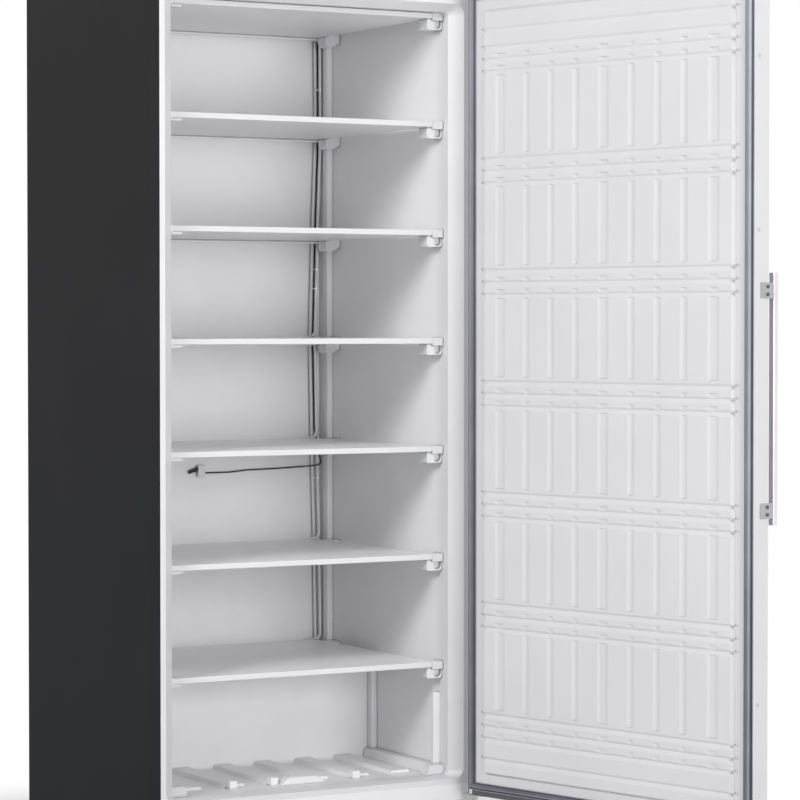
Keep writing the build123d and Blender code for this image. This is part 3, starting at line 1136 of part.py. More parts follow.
with BuildPart() as door_gasket:                     # base, magnet bulb and its sealed channel
    with BuildSketch(upright(DOOR_REAR_Y)):
        seal_ring(0, SEAL_W)
    extrude(amount=SEAL_BASE)
    with BuildSketch(upright(DOOR_REAR_Y + SEAL_BASE)):
        seal_ring(SEAL_STEP, SEAL_W - 2 * SEAL_STEP)
    extrude(amount=SEAL_FREE - SEAL_BASE)
    with BuildSketch(upright(MAGNET_Y)):
        seal_ring(MAGNET_INSET - MAGNET_PLAY, MAGNET_W + 2 * MAGNET_PLAY)
    extrude(amount=MAGNET_T + 2 * MAGNET_PLAY, mode=Mode.SUBTRACT)
write_on_door(door_gasket.part, "door_gasket")

with BuildPart() as magnet_strips:                   # mitred into one at each side and end
    left, top_z = SEAL_X - MAGNET_INSET, SEAL_HIGH - MAGNET_INSET
    low_z = SEAL_LOW + MAGNET_INSET
    near, far = MAGNET_Y + MAGNET_PLAY, MAGNET_Y + MAGNET_PLAY + MAGNET_T
    short = left - MAGNET_W - SEAT_GAP
    for side in (-1, 1):
        inner, outer = sorted((side * (left - MAGNET_W), side * left))
        block((inner, near, low_z), (outer, far, top_z))
    for bottom in (low_z, top_z - MAGNET_W):
        block((-short, near, bottom), (short, far, bottom + MAGNET_W))
write_on_door(magnet_strips.part, "magnet_strips")

with BuildPart() as hinge_bushes:                    # nylon, one in each end cap
    for end, inward in ((DOOR_LOW, 1), (DOOR_HIGH, -1)):
        rod((AXIS_X, AXIS_Y, end), (0, 0, inward), BUSH_R, PIN_DEPTH)
        rod((AXIS_X, AXIS_Y, end), (0, 0, -inward), BUSH_RIM_R, BUSH_RIM)
        rod((AXIS_X, AXIS_Y, end - inward * BUSH_RIM), (0, 0, inward), PIN_R + RUN_FIT,
            BUSH_RIM + PIN_DEPTH, Mode.SUBTRACT)
write_on_door(hinge_bushes.part, "hinge_bushes")

with BuildPart() as handle_bar:
    block((HANDLE_X, BAR_REAR_Y - BAR, LIP_Z + BAR_LOW), (HANDLE_X + BAR, BAR_REAR_Y, LIP_Z + BAR_HIGH))
    chamfer(handle_bar.edges(), BAR_EDGE)
write_on_door(handle_bar.part, "handle_bar")

with BuildPart() as handle_brackets:                 # flat plates from the door edge to the bar
    for z in TAB_Z:
        block((HANDLE_X, BAR_REAR_Y, z), (-DOOR_X, DOOR_FRONT_Y + TAB_ON_DOOR, z + TAB_H))
    fillet(handle_brackets.edges().filter_by(Axis.X).group_by(Axis.Y)[-1], TAB_R)
    for y, z in HANDLE_SCREWS:
        rod((HANDLE_X, y, z), (1, 0, 0), SCREW_R + SEAT_GAP / 2, TAB_T, Mode.SUBTRACT)
write_on_door(handle_brackets.part, "handle_brackets")

with BuildPart() as handle_screws:
    for y, z in HANDLE_SCREWS:
        rod((HANDLE_X, y, z), (1, 0, 0), SCREW_R, SCREW_L)
        rod((HANDLE_X, y, z), (-1, 0, 0), SCREW_HEAD_R, SCREW_HEAD)
write_on_door(handle_screws.part, "handle_screws")

with BuildPart() as door_edge_plugs:
    for y, z in EDGE_PLUGS:
        rod((-DOOR_X, y, z), (1, 0, 0), PLUG_R, PLUG_L)
        rod((-DOOR_X, y, z), (-1, 0, 0), PLUG_HEAD_R, PLUG_HEAD)
write_on_door(door_edge_plugs.part, "door_edge_plugs")
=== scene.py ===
import json
import math
import bmesh
import bpy
from mathutils import Matrix, Vector


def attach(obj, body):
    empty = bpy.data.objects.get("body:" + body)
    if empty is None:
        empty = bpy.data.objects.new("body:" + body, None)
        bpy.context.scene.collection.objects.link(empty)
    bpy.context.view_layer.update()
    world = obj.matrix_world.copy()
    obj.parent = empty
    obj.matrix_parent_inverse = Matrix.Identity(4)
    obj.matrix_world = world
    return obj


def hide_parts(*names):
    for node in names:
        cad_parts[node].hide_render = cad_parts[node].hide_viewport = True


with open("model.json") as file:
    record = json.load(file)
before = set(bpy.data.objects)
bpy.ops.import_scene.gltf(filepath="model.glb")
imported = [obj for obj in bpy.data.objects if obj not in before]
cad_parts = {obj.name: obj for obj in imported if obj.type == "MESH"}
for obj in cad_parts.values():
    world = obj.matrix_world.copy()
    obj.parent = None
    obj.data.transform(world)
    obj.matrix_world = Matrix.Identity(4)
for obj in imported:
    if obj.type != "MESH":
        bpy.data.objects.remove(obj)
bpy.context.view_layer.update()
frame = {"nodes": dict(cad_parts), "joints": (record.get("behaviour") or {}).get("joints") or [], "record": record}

# Looks of the tall upright freezer: every finish, and the studio that it stands in.  Metres.
NODES = frame["nodes"]


# ------------------------------------------------------------ colours and small helpers
def srgb(red, green, blue):
    """Linear colour of a paint that is named by its screen values, 0 to 255."""
    linear = []
    for level in (red, green, blue):
        part = level / 255
        linear.append(part / 12.92 if part <= 0.04045 else ((part + 0.055) / 1.055) ** 2.4)
    return (*linear, 1.0)


class Graph:
    """Short calls for the nodes and links of one material or group."""

    def __init__(self, tree):
        self.tree = tree

    def add(self, kind, **settings):
        node = self.tree.nodes.new(kind)
        for name, value in settings.items():
            setattr(node, name, value)
        return node

    def join(self, start, end):
        self.tree.links.new(start, end)

    def feed(self, value, socket):
        """Give a socket a plain value, or link another socket to it."""
        if isinstance(value, (int, float, tuple)):
            socket.default_value = value
        else:
            self.join(value, socket)

    def number(self, operation, first, second, clamp=False):
        """A Math node; a number or a socket goes into each side."""
        node = self.add("ShaderNodeMath", operation=operation, use_clamp=clamp)
        self.feed(first, node.inputs[0])
        self.feed(second, node.inputs[1])
        return node.outputs[0]

    def stretch(self, value, low, high, new_low=0.0, new_high=1.0):
        """Map Range, smooth at both ends."""
        node = self.add("ShaderNodeMapRange", interpolation_type="SMOOTHSTEP")
        self.join(value, node.inputs["Value"])
        limits = {"From Min": low, "From Max": high, "To Min": new_low, "To Max": new_high}
        for name, limit in limits.items():
            node.inputs[name].default_value = limit
        return node.outputs["Result"]

    def blend(self, factor, first, second):
        """Mix two colours."""
        node = self.add("ShaderNodeMix", data_type="RGBA")
        for socket, value in zip((node.inputs[0], node.inputs[6], node.inputs[7]), (factor, first, second)):
            self.feed(value, socket)
        return node.outputs[2]

    def noise(self, place, scale, detail=2.0, roughness=0.5):
        node = self.add("ShaderNodeTexNoise")
        node.inputs["Detail"].default_value = detail
        node.inputs["Roughness"].default_value = roughness
        self.join(place, node.inputs["Vector"])
        self.feed(scale, node.inputs["Scale"])
        return node.outputs["Fac"]

    def axis(self, vector, name):
        """The X, Y or Z of a vector."""
        split = self.add("ShaderNodeSeparateXYZ")
        self.join(vector, split.inputs[0])
        return split.outputs[name]

    def place(self):
        """Place on the piece, in metres."""
        return self.add("ShaderNodeTexCoord").outputs["Object"]


def effect(name, takes, gives):
    """Empty shader node group with named inputs and outputs."""
    tree = bpy.data.node_groups.new(name, "ShaderNodeTree")
    for label, kind, value in takes:
        socket = tree.interface.new_socket(label, in_out="INPUT", socket_type=kind)
        socket.default_value = value
    for label, kind in gives:
        tree.interface.new_socket(label, in_out="OUTPUT", socket_type=kind)
    graph = Graph(tree)
    return tree, graph, graph.add("NodeGroupInput").outputs, graph.add("NodeGroupOutput").inputs


FLOAT = "NodeSocketFloat"
COLOUR = "NodeSocketColor"
GREY = (0.5, 0.5, 0.5, 1.0)
BLACK = (0.0, 0.0, 0.0, 1.0)
WHITE = (1.0, 1.0, 1.0, 1.0)


# ------------------------------------------------------------ effects that several finishes share
DUST_BROWN = srgb(168, 160, 150)
# Colour of the painted shade low down on a finish.
LOW_SHADE_GREY = srgb(60, 62, 68)
# Colour of the painted shade in grooves, seams and next to neighbouring pieces.
CREASE_SHADE_GREY = srgb(70, 70, 78)
CREASE_SHADE_REACH = 0.006         # how far from a groove or a neighbour the painted shade reaches
ZINC_SHADE = (0.12, 0.13, 0.14, 1.0)
ZINC_ROUGHNESS = 0.32        # of the glossiest crystal
ZINC_ROUGHER = 0.25          # by how much the dullest crystal is rougher


def make_mottle():
    """Slow drift of a paint or moulding between its own colour and a slightly darker one."""
    tree, graph, given, result = effect(
        "mottle", [("Colour", COLOUR, GREY), ("Shade", FLOAT, 0.05), ("Scale", FLOAT, 6.0)],
        [("Colour", COLOUR)])
    mask = graph.stretch(graph.noise(graph.place(), given["Scale"], detail=3.0), low=0.3, high=0.7)
    dark = graph.blend(given["Shade"], given["Colour"], BLACK)
    graph.join(graph.blend(mask, given["Colour"], dark), result["Colour"])
    return tree


def make_orange_peel():
    """Fine waviness of sprayed paint or of a vacuum formed sheet, as a height."""
    tree, graph, given, result = effect(
        "orange_peel", [("Scale", FLOAT, 400.0), ("Wave Scale", FLOAT, 12.0), ("Wave", FLOAT, 1.0)],
        [("Height", FLOAT)])
    place = graph.place()
    fine = graph.noise(place, given["Scale"])
    wave = graph.number("MULTIPLY", graph.noise(place, given["Wave Scale"], detail=1.0), given["Wave"])
    graph.join(graph.number("ADD", fine, wave), result["Height"])
    return tree


def make_dust():
    """Dust that settles in patches on what faces up."""
    tree, graph, given, result = effect(
        "dust", [("Colour", COLOUR, GREY), ("Dust", COLOUR, DUST_BROWN), ("Amount", FLOAT, 0.2)],
        [("Colour", COLOUR)])
    normal = graph.add("ShaderNodeNewGeometry").outputs["Normal"]
    up = graph.stretch(graph.axis(normal, "Z"), low=0.3, high=1.0)
    stain = graph.noise(graph.place(), scale=14.0, detail=6.0, roughness=0.65)
    patch = graph.stretch(stain, low=0.35, high=0.75)
    mask = graph.number("MULTIPLY", graph.number("MULTIPLY", up, patch), given["Amount"], clamp=True)
    graph.join(graph.blend(mask, given["Colour"], given["Dust"]), result["Colour"])
    return tree


def make_painted_height_shade():
    """Painted shade: slow darkening of a finish from one height down to another, broken up by faint stains."""
    tree, graph, given, result = effect(
        "painted_height_shade", [("Colour", COLOUR, GREY), ("Grime", COLOUR, LOW_SHADE_GREY), ("Amount", FLOAT, 0.3),
                   ("Low", FLOAT, 0.1), ("High", FLOAT, 2.0)],
        [("Colour", COLOUR)])
    drop = graph.add("ShaderNodeMapRange")
    graph.join(graph.axis(graph.place(), "Z"), drop.inputs["Value"])
    graph.join(given["Low"], drop.inputs["From Min"])
    graph.join(given["High"], drop.inputs["From Max"])
    drop.inputs["To Min"].default_value = 1.0
    drop.inputs["To Max"].default_value = 0.0
    noise = graph.noise(graph.place(), scale=9.0, detail=5.0, roughness=0.6)
    stain = graph.stretch(noise, low=0.2, high=0.8, new_low=0.85, new_high=1.15)
    stained = graph.number("MULTIPLY", drop.outputs["Result"], stain)
    mask = graph.number("MULTIPLY", stained, given["Amount"], clamp=True)
    graph.join(graph.blend(mask, given["Colour"], given["Grime"]), result["Colour"])
    return tree


def make_painted_crease_shade():
    """Painted shade: grey darkening, from ambient occlusion, in grooves, seams and along the edges of neighbouring
    pieces.
    """
    tree, graph, given, result = effect(
        "painted_crease_shade", [("Colour", COLOUR, GREY), ("Crease Shade", COLOUR, CREASE_SHADE_GREY), ("Amount", FLOAT, 0.5),
                        ("Reach", FLOAT, CREASE_SHADE_REACH)],
        [("Colour", COLOUR)])
    shelter = graph.add("ShaderNodeAmbientOcclusion", samples=8)
    graph.join(given["Reach"], shelter.inputs["Distance"])
    inner = graph.stretch(shelter.outputs["AO"], low=0.4, high=0.92, new_low=1.0, new_high=0.0)
    mask = graph.number("MULTIPLY", inner, given["Amount"], clamp=True)
    graph.join(graph.blend(mask, given["Colour"], given["Crease Shade"]), result["Colour"])
    return tree


def make_brushing():
    """Fine drawn lines along the height of a bar, as a height and as a change of gloss."""
    tree, graph, given, result = effect(
        "brushing", [("Fine", FLOAT, 900.0), ("Along", FLOAT, 12.0), ("Gloss", FLOAT, 0.3),
                     ("Spread", FLOAT, 0.1)],
        [("Height", FLOAT), ("Roughness", FLOAT)])
    size = graph.add("ShaderNodeCombineXYZ")
    graph.join(given["Fine"], size.inputs["X"])
    graph.join(given["Fine"], size.inputs["Y"])
    graph.join(given["Along"], size.inputs["Z"])
    brush_place_and_wall_shade = graph.add("ShaderNodeVectorMath", operation="MULTIPLY")
    graph.join(graph.place(), brush_place_and_wall_shade.inputs[0])
    graph.join(size.outputs[0], brush_place_and_wall_shade.inputs[1])
    lines = graph.noise(brush_place_and_wall_shade.outputs[0], scale=1.0, detail=3.0, roughness=0.6)
    graph.join(lines, result["Height"])
    swing = graph.number("MULTIPLY", graph.number("SUBTRACT", lines, 0.5), given["Spread"])
    graph.join(graph.number("ADD", given["Gloss"], swing, clamp=True), result["Roughness"])
    return tree


def make_spangle():
    """Crystal flowers of hot dipped zinc."""
    tree, graph, given, result = effect(
        "spangle", [("Colour", COLOUR, GREY), ("Scale", FLOAT, 90.0), ("Contrast", FLOAT, 0.25)],
        [("Colour", COLOUR), ("Roughness", FLOAT)])
    cells = graph.add("ShaderNodeTexVoronoi")
    graph.join(graph.place(), cells.inputs["Vector"])
    graph.join(given["Scale"], cells.inputs["Scale"])
    tone = graph.add("ShaderNodeSeparateColor")
    graph.join(cells.outputs["Color"], tone.inputs[0])
    shade = graph.number("MULTIPLY", tone.outputs["Red"], given["Contrast"])
    graph.join(graph.blend(shade, given["Colour"], ZINC_SHADE), result["Colour"])
    rougher = graph.number("MULTIPLY", tone.outputs["Green"], ZINC_ROUGHER)
    graph.join(graph.number("ADD", ZINC_ROUGHNESS, rougher), result["Roughness"])
    return tree


MOTTLE = make_mottle()
PEEL = make_orange_peel()
DUST = make_dust()
PAINTED_HEIGHT_SHADE = make_painted_height_shade()
PAINTED_CREASE_SHADE = make_painted_crease_shade()
BRUSHING = make_brushing()
SPANGLE = make_spangle()


# ------------------------------------------------------------ the open door
SWING = next(joint for joint in frame["joints"] if joint["name"] == "door_swing")
PIVOT = Vector((*SWING["pos_m"][:2], 0.0))
OPENING = Matrix.Rotation(math.radians(-SWING["range_deg"][0]), 4, "Z")
CLOSING = OPENING.inverted()
TO_FREE_EDGE = OPENING.to_3x3() @ Vector((-1.0, 0.0, 0.0))   # along the open door, away from its hinges


def on_open_door(point):
    """Place in the frame of a point that is given on the closed door."""
    return OPENING @ (Vector(point) - PIVOT) + PIVOT


def closed_door_points(node):
    """Corners of a piece of the door, with the door closed."""
    return [CLOSING @ (vertex.co - PIVOT) + PIVOT for vertex in NODES[node].data.vertices]


# ------------------------------------------------------------ finishes
class Finish:
    """One material: plain values on the shader, with the shared effects in front of it."""

    def __init__(self, name, colour, roughness, metallic=0.0, **plain):
        self.material = bpy.data.materials.new(name)
        self.material.use_nodes = True
        self.material.diffuse_color = colour
        self.graph = Graph(self.material.node_tree)
        self.shader = self.material.node_tree.nodes["Principled BSDF"]
        self.shader.inputs["Base Color"].default_value = colour
        self.shader.inputs["Roughness"].default_value = roughness
        self.shader.inputs["Metallic"].default_value = metallic
        for label, value in plain.items():
            self.shader.inputs[label.replace("_", " ")].default_value = value

    def group(self, tree, **values):
        node = self.graph.add("ShaderNodeGroup", node_tree=tree)
        for label, value in values.items():
            self.graph.feed(value, node.inputs[label.replace("_", " ")])
        return node

    def paint(self, socket, label="Base Color"):
        self.graph.join(socket, self.shader.inputs[label])

    def coat(self, tone, shade, scale, low_shade=None, low_shade_amount=0.0, crease_shade=0.0, dust=0.0):
        """Mottled base colour, and over it the painted shade low down, the painted shade in creases and the dust
        that are asked for.
        """
        tone = self.group(MOTTLE, Colour=tone, Shade=shade, Scale=scale).outputs["Colour"]
        # painted shade, darker towards the bottom
        if low_shade:
            tone = self.group(PAINTED_HEIGHT_SHADE, Colour=tone, Grime=low_shade, Amount=low_shade_amount).outputs["Colour"]
        # painted shade in grooves, seams and next to neighbouring pieces
        if crease_shade:
            tone = self.group(PAINTED_CREASE_SHADE, Colour=tone, Amount=crease_shade).outputs["Colour"]
        if dust:
            tone = self.group(DUST, Colour=tone, Amount=dust).outputs["Colour"]
        self.paint(tone)

    def bump(self, height, depth):
        node = self.graph.add("ShaderNodeBump")
        node.inputs["Distance"].default_value = depth
        self.graph.join(height, node.inputs["Height"])
        self.paint(node.outputs["Normal"], "Normal")

    def grain(self, scale, wave_scale, wave, depth):
        """Fine grain over a slower wave, in relief."""
        height = self.group(PEEL, Scale=scale, Wave_Scale=wave_scale, Wave=wave).outputs["Height"]
        self.bump(height, depth)


def sprayed(name, colour, roughness, peel=420.0, depth=0.00004, shade=0.04, dust=0.0, low_shade=None, crease_shade=0.0,
            **plain):
    """Painted sheet metal or tube."""
    finish = Finish(name, colour, roughness, **plain)
    finish.coat(colour, shade, scale=4.0, low_shade=low_shade, low_shade_amount=0.5, crease_shade=crease_shade, dust=dust)
    finish.grain(scale=peel, wave_scale=9.0, wave=2.0, depth=depth)
    return finish.material


def moulded(name, colour, roughness, dust=0.0, crease_shade=0.0):
    """Injection moulded plastic."""
    finish = Finish(name, colour, roughness)
    finish.coat(colour, shade=0.03, scale=7.0, crease_shade=crease_shade, dust=dust)
    finish.grain(scale=260.0, wave_scale=26.0, wave=1.6, depth=0.00003)
    return finish.material


def formed_sheet(name, colour):
    """Start of a vacuum formed plastic sheet, with its gloss and its slight waves."""
    finish = Finish(name, colour, roughness=0.36, Specular_IOR_Level=0.35)
    finish.grain(scale=240.0, wave_scale=26.0, wave=1.6, depth=0.00005)
    return finish


def tub_sheet(name, inside, mouth):
    """Liner of the cabinet: painted light makes it brighter inside, and painted shade greyer on its mouth."""
    finish = formed_sheet(name, inside)
    graph = finish.graph
    front = min(vertex.co.y for vertex in NODES["inner_liner"].data.vertices)
    depth = graph.stretch(graph.axis(graph.place(), "Y"), front + MOUTH_END, front + INSIDE_START)
    tone = graph.blend(depth, mouth, inside)
    finish.coat(tone, shade=0.03, scale=7.0, low_shade=TUB_LOW_SHADE, low_shade_amount=0.2, crease_shade=0.5)
    return finish.material


def door_sheet(name, colour, brush_place_and_wall_shade):
    """Liner of the door, with a painted shade: the wall at its free edge is greyer."""
    finish = formed_sheet(name, colour)
    graph = finish.graph
    lean = graph.add("ShaderNodeVectorMath", operation="DOT_PRODUCT")
    graph.join(graph.add("ShaderNodeTexCoord").outputs["Normal"], lean.inputs[0])
    lean.inputs[1].default_value = TO_FREE_EDGE
    wall_shade_mask = graph.stretch(lean.outputs["Value"], *SHADED_WALL_LEAN)
    finish.coat(graph.blend(wall_shade_mask, colour, brush_place_and_wall_shade), shade=0.03, scale=7.0, crease_shade=0.75)
    return finish.material


def drawn_metal(name, colour, roughness, metallic=1.0, shade=0.08, low_shade=None):
    """Brushed or drawn metal."""
    finish = Finish(name, colour, roughness, metallic)
    lines = finish.group(BRUSHING, Fine=900.0, Gloss=roughness, Spread=0.18)
    finish.coat(colour, shade, scale=20.0, low_shade=low_shade, low_shade_amount=0.15)
    finish.paint(lines.outputs["Roughness"], "Roughness")
    finish.bump(lines.outputs["Height"], depth=0.00002)
    return finish.material


def zinc(name, colour, scale, contrast):
    """Galvanized or zinc plated steel."""
    finish = Finish(name, colour, roughness=0.4, metallic=0.9)
    flowers = finish.group(SPANGLE, Colour=colour, Scale=scale, Contrast=contrast)
    finish.paint(finish.group(DUST, Colour=flowers.outputs["Colour"], Amount=0.35).outputs["Colour"])
    finish.paint(flowers.outputs["Roughness"], "Roughness")
    finish.grain(scale=300.0, wave_scale=20.0, wave=1.0, depth=0.00004)
    return finish.material


def copper_tube(name, colour, browned):
    """Drawn copper that has browned a little."""
    finish = Finish(name, colour, roughness=0.32, metallic=1.0)
    graph = finish.graph
    stain = graph.stretch(graph.noise(graph.place(), scale=45.0, detail=5.0), low=0.42, high=0.7)
    finish.paint(graph.blend(stain, colour, browned))
    finish.grain(scale=700.0, wave_scale=60.0, wave=1.0, depth=0.00003)
    return finish.material


def foam(name, colour):
    """Rigid polyurethane foam."""
    finish = Finish(name, colour, roughness=0.95)
    finish.coat(colour, shade=0.2, scale=30.0)
    finish.grain(scale=900.0, wave_scale=80.0, wave=1.0, depth=0.0004)
    return finish.material


def rubber(name, colour, roughness, dust=0.0, low_shade=None):
    """Soft extruded or moulded rubber."""
    finish = Finish(name, colour, roughness, Specular_IOR_Level=0.4)
    finish.coat(colour, shade=0.12, scale=16.0, low_shade=low_shade, low_shade_amount=0.65, dust=dust)
    finish.grain(scale=500.0, wave_scale=40.0, wave=0.6, depth=0.00006)
    return finish.material


MOUTH_END = 0.035            # depth behind the liner's front edge at which the painted shade of its mouth starts to give way to the painted light inside
INSIDE_START = 0.09          # depth from which it has the brighter, painted colour of its inside
# Colour of the tub's painted shade low down.
TUB_LOW_SHADE = srgb(120, 120, 126)
SHADED_WALL_LEAN = (0.3, 0.75)      # how far a face turns to the door's free edge before it counts as its wall and takes its painted shade

# Finish of each material slot: name, colour and roughness, and what differs from the usual.
# The darker colour low down that some finishes are given, and their darkening in creases, are painted shade.
FINISHES = {
    "dark_paint": sprayed("dark_grey_paint", srgb(50, 49, 50), 0.5, peel=700.0, depth=0.00005, shade=0.1,
                          low_shade=srgb(30, 36, 42), Specular_IOR_Level=0.02),
    "white_paint": sprayed("white_sill_paint", srgb(236, 236, 238), 0.28, Coat_Weight=0.15),
    "plate_paint": sprayed("shelf_plate_lacquer", srgb(248, 248, 250), 0.38, peel=500.0, depth=0.00003,
                           shade=0.03, crease_shade=0.6),
    "galvanized": zinc("galvanized_sheet", srgb(176, 180, 184), scale=70.0, contrast=0.35),
    "zinc_steel": zinc("zinc_plated_steel", srgb(190, 192, 194), scale=260.0, contrast=0.15),
    "satin_steel": drawn_metal("satin_steel", srgb(234, 234, 237), 0.5, metallic=0.12, shade=0.015,
                               low_shade=srgb(150, 150, 154)),
    "satin_handle": drawn_metal("satin_handle_bar", srgb(238, 234, 237), 0.34),
    "aluminium_part": drawn_metal("bright_aluminium", srgb(222, 224, 228), 0.3),
    "white_plastic": moulded("white_moulding", srgb(226, 226, 229), 0.38, crease_shade=0.6),
    "clear_plastic": moulded("milky_bracket", srgb(232, 234, 237), 0.3, crease_shade=0.7),
    "grey_plastic": moulded("grey_moulding", srgb(150, 152, 158), 0.45, dust=0.15),
    "grey_cap": moulded("dark_grey_end_cap", srgb(92, 93, 98), 0.5),
    "black_plastic": moulded("black_moulding", srgb(26, 26, 28), 0.42, dust=0.2),
    "black_cable": rubber("black_sensor_lead", srgb(30, 32, 38), 0.5),
    "white_tube": sprayed("white_tube_lacquer", srgb(224, 224, 229), 0.4, peel=600.0, crease_shade=0.3),
    "black_paint": sprayed("black_enamel", srgb(20, 20, 21), 0.3, peel=300.0, depth=0.00008, shade=0.2,
                           dust=0.5),
    "copper": copper_tube("copper_line", srgb(190, 118, 84), browned=srgb(112, 66, 50)),
    "foam": foam("rigid_foam", srgb(226, 208, 150)),
    "rubber_part": rubber("black_rubber", srgb(30, 30, 31), 0.7, dust=0.3),
    "seal_rubber": rubber("grey_seal_rubber", srgb(158, 159, 167), 0.5, low_shade=srgb(56, 56, 66)),
}
# Finish of each kind of row in the door seal's section: the same grey rubber with a painted shade in the folds and
# a painted highlight on the lips and the bulb's outer shoulder, and on all three a painted shade low down.
SEAL_FINISHES = {
    "face": FINISHES["seal_rubber"],
    "fold": rubber("seal_rubber_painted_shade", srgb(104, 104, 114), 0.6, low_shade=srgb(36, 36, 44)),
    "lip": rubber("seal_rubber_painted_highlight", srgb(194, 194, 206), 0.45, low_shade=srgb(90, 90, 102)),
}
# Pieces whose finish differs from the others of their slot, and both liners, which have a sheet each.
OWN_FINISHES = {
    # Painted light and shade: the tub sheet is brighter inside and greyer on its mouth.
    "inner_liner": tub_sheet("white_tub_sheet", srgb(252, 251, 254), mouth=srgb(236, 235, 239)),
    # Painted shade: the door sheet's wall at its free edge is greyer.
    "door_liner": door_sheet("white_door_sheet", srgb(231, 230, 234), brush_place_and_wall_shade=srgb(213, 213, 218)),
    "handle_screws": zinc("dark_screw_heads", srgb(104, 104, 108), scale=400.0, contrast=0.2),
    "handle_brackets": drawn_metal("satin_handle_bracket", srgb(186, 186, 190), 0.4),
    "door_edge_plugs": moulded("grey_edge_plugs", srgb(206, 206, 210), 0.5),
}


def finish_nodes():
    """Give every piece of the frame its own finish, or else the finish of its slot."""
    for part in frame["record"]["subparts"]:
        mesh = NODES[part["node"]].data
        mesh.materials.clear()
        mesh.materials.append(OWN_FINISHES.get(part["node"]) or FINISHES[part["material_slot"]])


# ------------------------------------------------------------ door seal
SEAL_SKIRT = 0.0045          # the outer lip lies this far over the folded skin
SEAL_BULB = (0.0056, 0.019)  # outer and inner side of the magnet bulb
SEAL_ROUND = 0.0018          # rounding of the bulb
SEAL_SHINE = 0.0024          # the outer shoulder of the bulb, and its painted highlight, is this much wider than its corner
OUTER_LIP = 0.0007           # rounding of the thin outer lip
INNER_LIP = 0.0005           # rounding of the thin inner lip
# Bellows, as reach inward and rise: the first from the seal's edge, the others from the bulb's side.
FOLD_START = (0.0017, 0.0008)
OUTER_FOLD = ((-0.001, 0.0007), (-0.0002, 0.0016), (-0.0012, 0.0027))
INNER_FOLD = ((-0.001, 0.0032), (0.0, 0.002), (0.0003, 0.001))
OUTER_SHOULDER = 0.0036      # rise at which the bulb leaves its outer fold
SHARP_EDGE = math.radians(35)


def arc(centre, radius, start, end, steps=5):
    """Points of an arc in the section of a piece; angles in degrees."""
    turns = [math.radians(start + (end - start) * step / steps) for step in range(steps + 1)]
    return [(centre[0] + radius * math.cos(turn), centre[1] + radius * math.sin(turn)) for turn in turns]


def seal_section(width, height):
    """Outline of the seal from its outer lip to its inner one: reach inward, height and finish."""
    outer, inner = SEAL_BULB
    left, right, top = outer + SEAL_ROUND, inner - SEAL_ROUND, height - SEAL_ROUND
    outer_fold = [(outer + reach, rise) for reach, rise in OUTER_FOLD]
    *inner_fold, inner_foot = [(inner + reach, rise) for reach, rise in INNER_FOLD]
    inner_lip = arc((width - INNER_LIP, INNER_LIP), INNER_LIP, 90, 0, steps=3)
    rows = [("lip", [(0.0, 0.0), *arc((OUTER_LIP, OUTER_LIP), OUTER_LIP, 180, 60)]),
            ("fold", [FOLD_START, *outer_fold]),
            ("lip", [(outer, OUTER_SHOULDER), *arc((left, top), SEAL_ROUND, 180, 90)]),
            ("face", [(left + SEAL_SHINE, height)]),
            ("fold", [*arc((right, top), SEAL_ROUND, 90, 0), *inner_fold]),
            ("lip", [inner_foot, *inner_lip, (width, 0.0)])]
    return [(reach, rise, finish) for finish, points in rows for reach, rise in points]


def make_seal():
    """Magnetic seal of the door: bellows with a bulb, mitred at the four corners."""
    points = closed_door_points("door_gasket")
    low, high = [Vector([pick(point[axis] for point in points) for axis in range(3)]) for pick in (min, max)]
    half_opening = min(abs(point.x) for point in points)
    end_width = (high.x - low.x) / 2 - half_opening
    width = end_width + SEAL_SKIRT
    section = seal_section(width, high.y - low.y)
    mesh = bpy.data.meshes.new("door_seal")
    form = bmesh.new()
    rings = []
    for side, end in ((-1, low.z), (1, low.z), (1, high.z), (-1, high.z)):
        inward = 1 if end == low.z else -1
        rings.append([form.verts.new(on_open_door((side * (high.x + SEAL_SKIRT - reach), low.y + rise,
                                                   end + inward * reach * end_width / width)))
                      for reach, rise, finish in section])
    names = list(SEAL_FINISHES)
    count = len(section)
    for ring, following in zip(rings, rings[1:] + rings[:1]):
        for row, (reach, rise, finish) in enumerate(section):
            after = (row + 1) % count
            face = form.faces.new((ring[row], following[row], following[after], ring[after]))
            # rows of the folds take a painted shade, those of the lips and the outer shoulder a painted highlight
            face.material_index = names.index(finish)
    bmesh.ops.recalc_face_normals(form, faces=form.faces)
    form.to_mesh(mesh)
    form.free()
    for name in names:
        mesh.materials.append(SEAL_FINISHES[name])
    mesh.shade_smooth()
    mesh.set_sharp_from_angle(angle=SHARP_EDGE)
    seal = bpy.data.objects.new("door_seal", mesh)
    bpy.context.scene.collection.objects.link(seal)
    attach(seal, "door")
    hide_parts("door_gasket")


# ------------------------------------------------------------ studio
CAMERA_PLACE = (-2.9283, -5.8043, 1.1705)
CAMERA_YAW = -29.665         # degrees, as the pitch
CAMERA_PITCH = -1.471
CAMERA_LENS = 133.70         # millimetres, as the sensor
SENSOR = 36.0
WORLD_FILL = 0.3             # how strongly the white surroundings light the freezer
FLOOR_SIZE = 60.0
FLOOR_NEAR = 0.7             # distance from the middle up to which the floor takes the shadow
FLOOR_FAR = 1.3              # distance from which it is plain white
FLOOR_SEEN = (0.9, 0.9, 0.9, 1.0)         # colour that the camera sees
FLOOR_BOUNCE = (0.55, 0.55, 0.55, 1.0)    # colour that its light on the freezer comes from
FLOOR_GLOW = 0.2             # own light of the near floor, so that its white reaches the background's
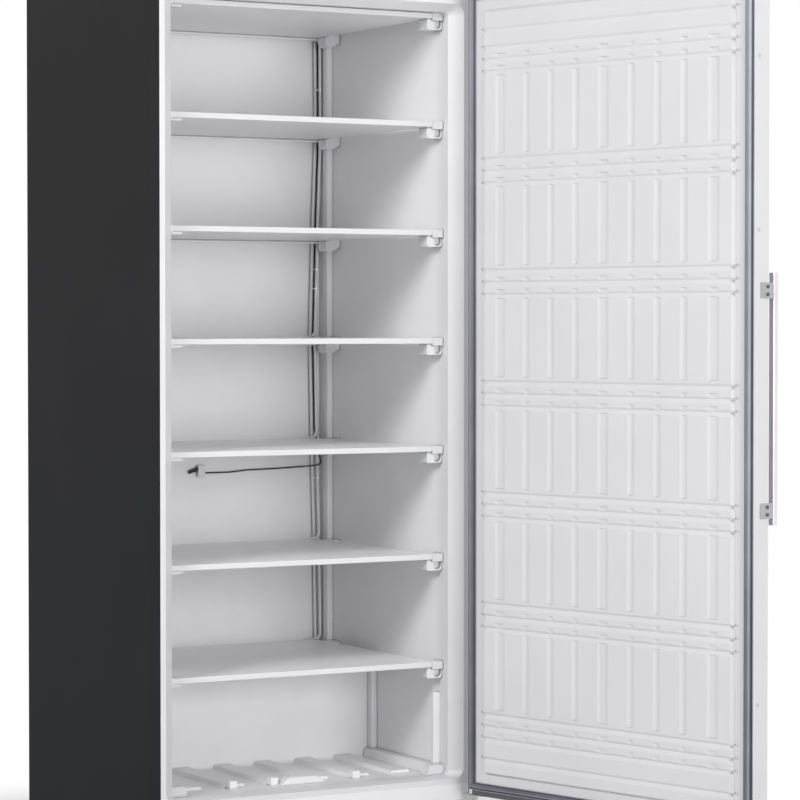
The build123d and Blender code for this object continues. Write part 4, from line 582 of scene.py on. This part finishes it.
# Name, place, point that it faces, width and height, and watts of each lamp.
LAMPS = (
    ("left_softbox", (-5.2, -2.8, 3.5), (0.3, -0.3, 1.1), (1.8, 1.6), 190.0),
    ("front_softbox", (0.4, -5.8, 1.15), (0.0, 0.0, 1.0), (3.0, 2.0), 137.0),
    ("top_softbox", (0.3, -2.6, 4.0), (0.0, 0.0, 1.0), (2.4, 2.0), 16.0),
)


def make_camera():
    lens = bpy.data.cameras.new("camera")
    lens.lens = CAMERA_LENS
    lens.sensor_width = SENSOR
    camera = bpy.data.objects.new("camera", lens)
    camera.location = CAMERA_PLACE
    camera.rotation_euler = (math.radians(90 + CAMERA_PITCH), 0, math.radians(CAMERA_YAW))
    bpy.context.scene.collection.objects.link(camera)
    bpy.context.scene.camera = camera


def seen_directly(graph):
    """1 for what the camera sees, straight or in a mirror or through glass, else 0."""
    path = graph.add("ShaderNodeLightPath").outputs
    either = graph.number("ADD", path["Is Camera Ray"], path["Is Glossy Ray"])
    return graph.number("ADD", either, path["Is Transmission Ray"], clamp=True)


def make_world():
    """White surroundings that are seen at full strength and light the freezer more weakly."""
    world = bpy.data.worlds.new("studio")
    world.use_nodes = True
    graph = Graph(world.node_tree)
    light = world.node_tree.nodes["Background"]
    light.inputs["Color"].default_value = WHITE
    shown = graph.stretch(seen_directly(graph), low=0.0, high=1.0, new_low=WORLD_FILL)
    graph.join(shown, light.inputs["Strength"])
    bpy.context.scene.world = world


def make_floor():
    """Pale floor: it takes the freezer's shadow up to a distance, and beyond it is plain white."""
    mesh = bpy.data.meshes.new("studio_floor")
    half = FLOOR_SIZE / 2
    corners = [(-half, -half, 0), (half, -half, 0), (half, half, 0), (-half, half, 0)]
    mesh.from_pydata(corners, [], [(0, 1, 2, 3)])
    floor = bpy.data.objects.new("studio_floor", mesh)
    bpy.context.scene.collection.objects.link(floor)
    finish = Finish("studio_floor", FLOOR_SEEN, roughness=0.9, Specular_IOR_Level=0.0)
    graph = finish.graph
    length = graph.add("ShaderNodeVectorMath", operation="LENGTH")
    graph.join(graph.place(), length.inputs[0])
    distance = length.outputs["Value"]
    seen = seen_directly(graph)
    glow = graph.number("MULTIPLY", graph.stretch(distance, FLOOR_NEAR, FLOOR_FAR, new_low=FLOOR_GLOW), seen)
    beyond = graph.number("MULTIPLY", graph.stretch(distance, FLOOR_NEAR, FLOOR_FAR), seen)
    finish.paint(graph.blend(beyond, graph.blend(seen, FLOOR_BOUNCE, FLOOR_SEEN), BLACK))
    finish.paint(glow, "Emission Strength")
    finish.shader.inputs["Emission Color"].default_value = WHITE
    mesh.materials.append(finish.material)


def make_lamp(name, place, target, size, power):
    lamp = bpy.data.lights.new(name, "AREA")
    lamp.shape = "RECTANGLE"
    lamp.size, lamp.size_y = size
    lamp.energy = power
    holder = bpy.data.objects.new(name, lamp)
    holder.location = place
    aim = Vector(target) - Vector(place)
    holder.rotation_euler = aim.to_track_quat("-Z", "Y").to_euler()
    bpy.context.scene.collection.objects.link(holder)


make_camera()
make_world()
make_floor()
for lamp in LAMPS:
    make_lamp(*lamp)
finish_nodes()
make_seal()

bpy.context.scene.view_settings.view_transform = "Standard"
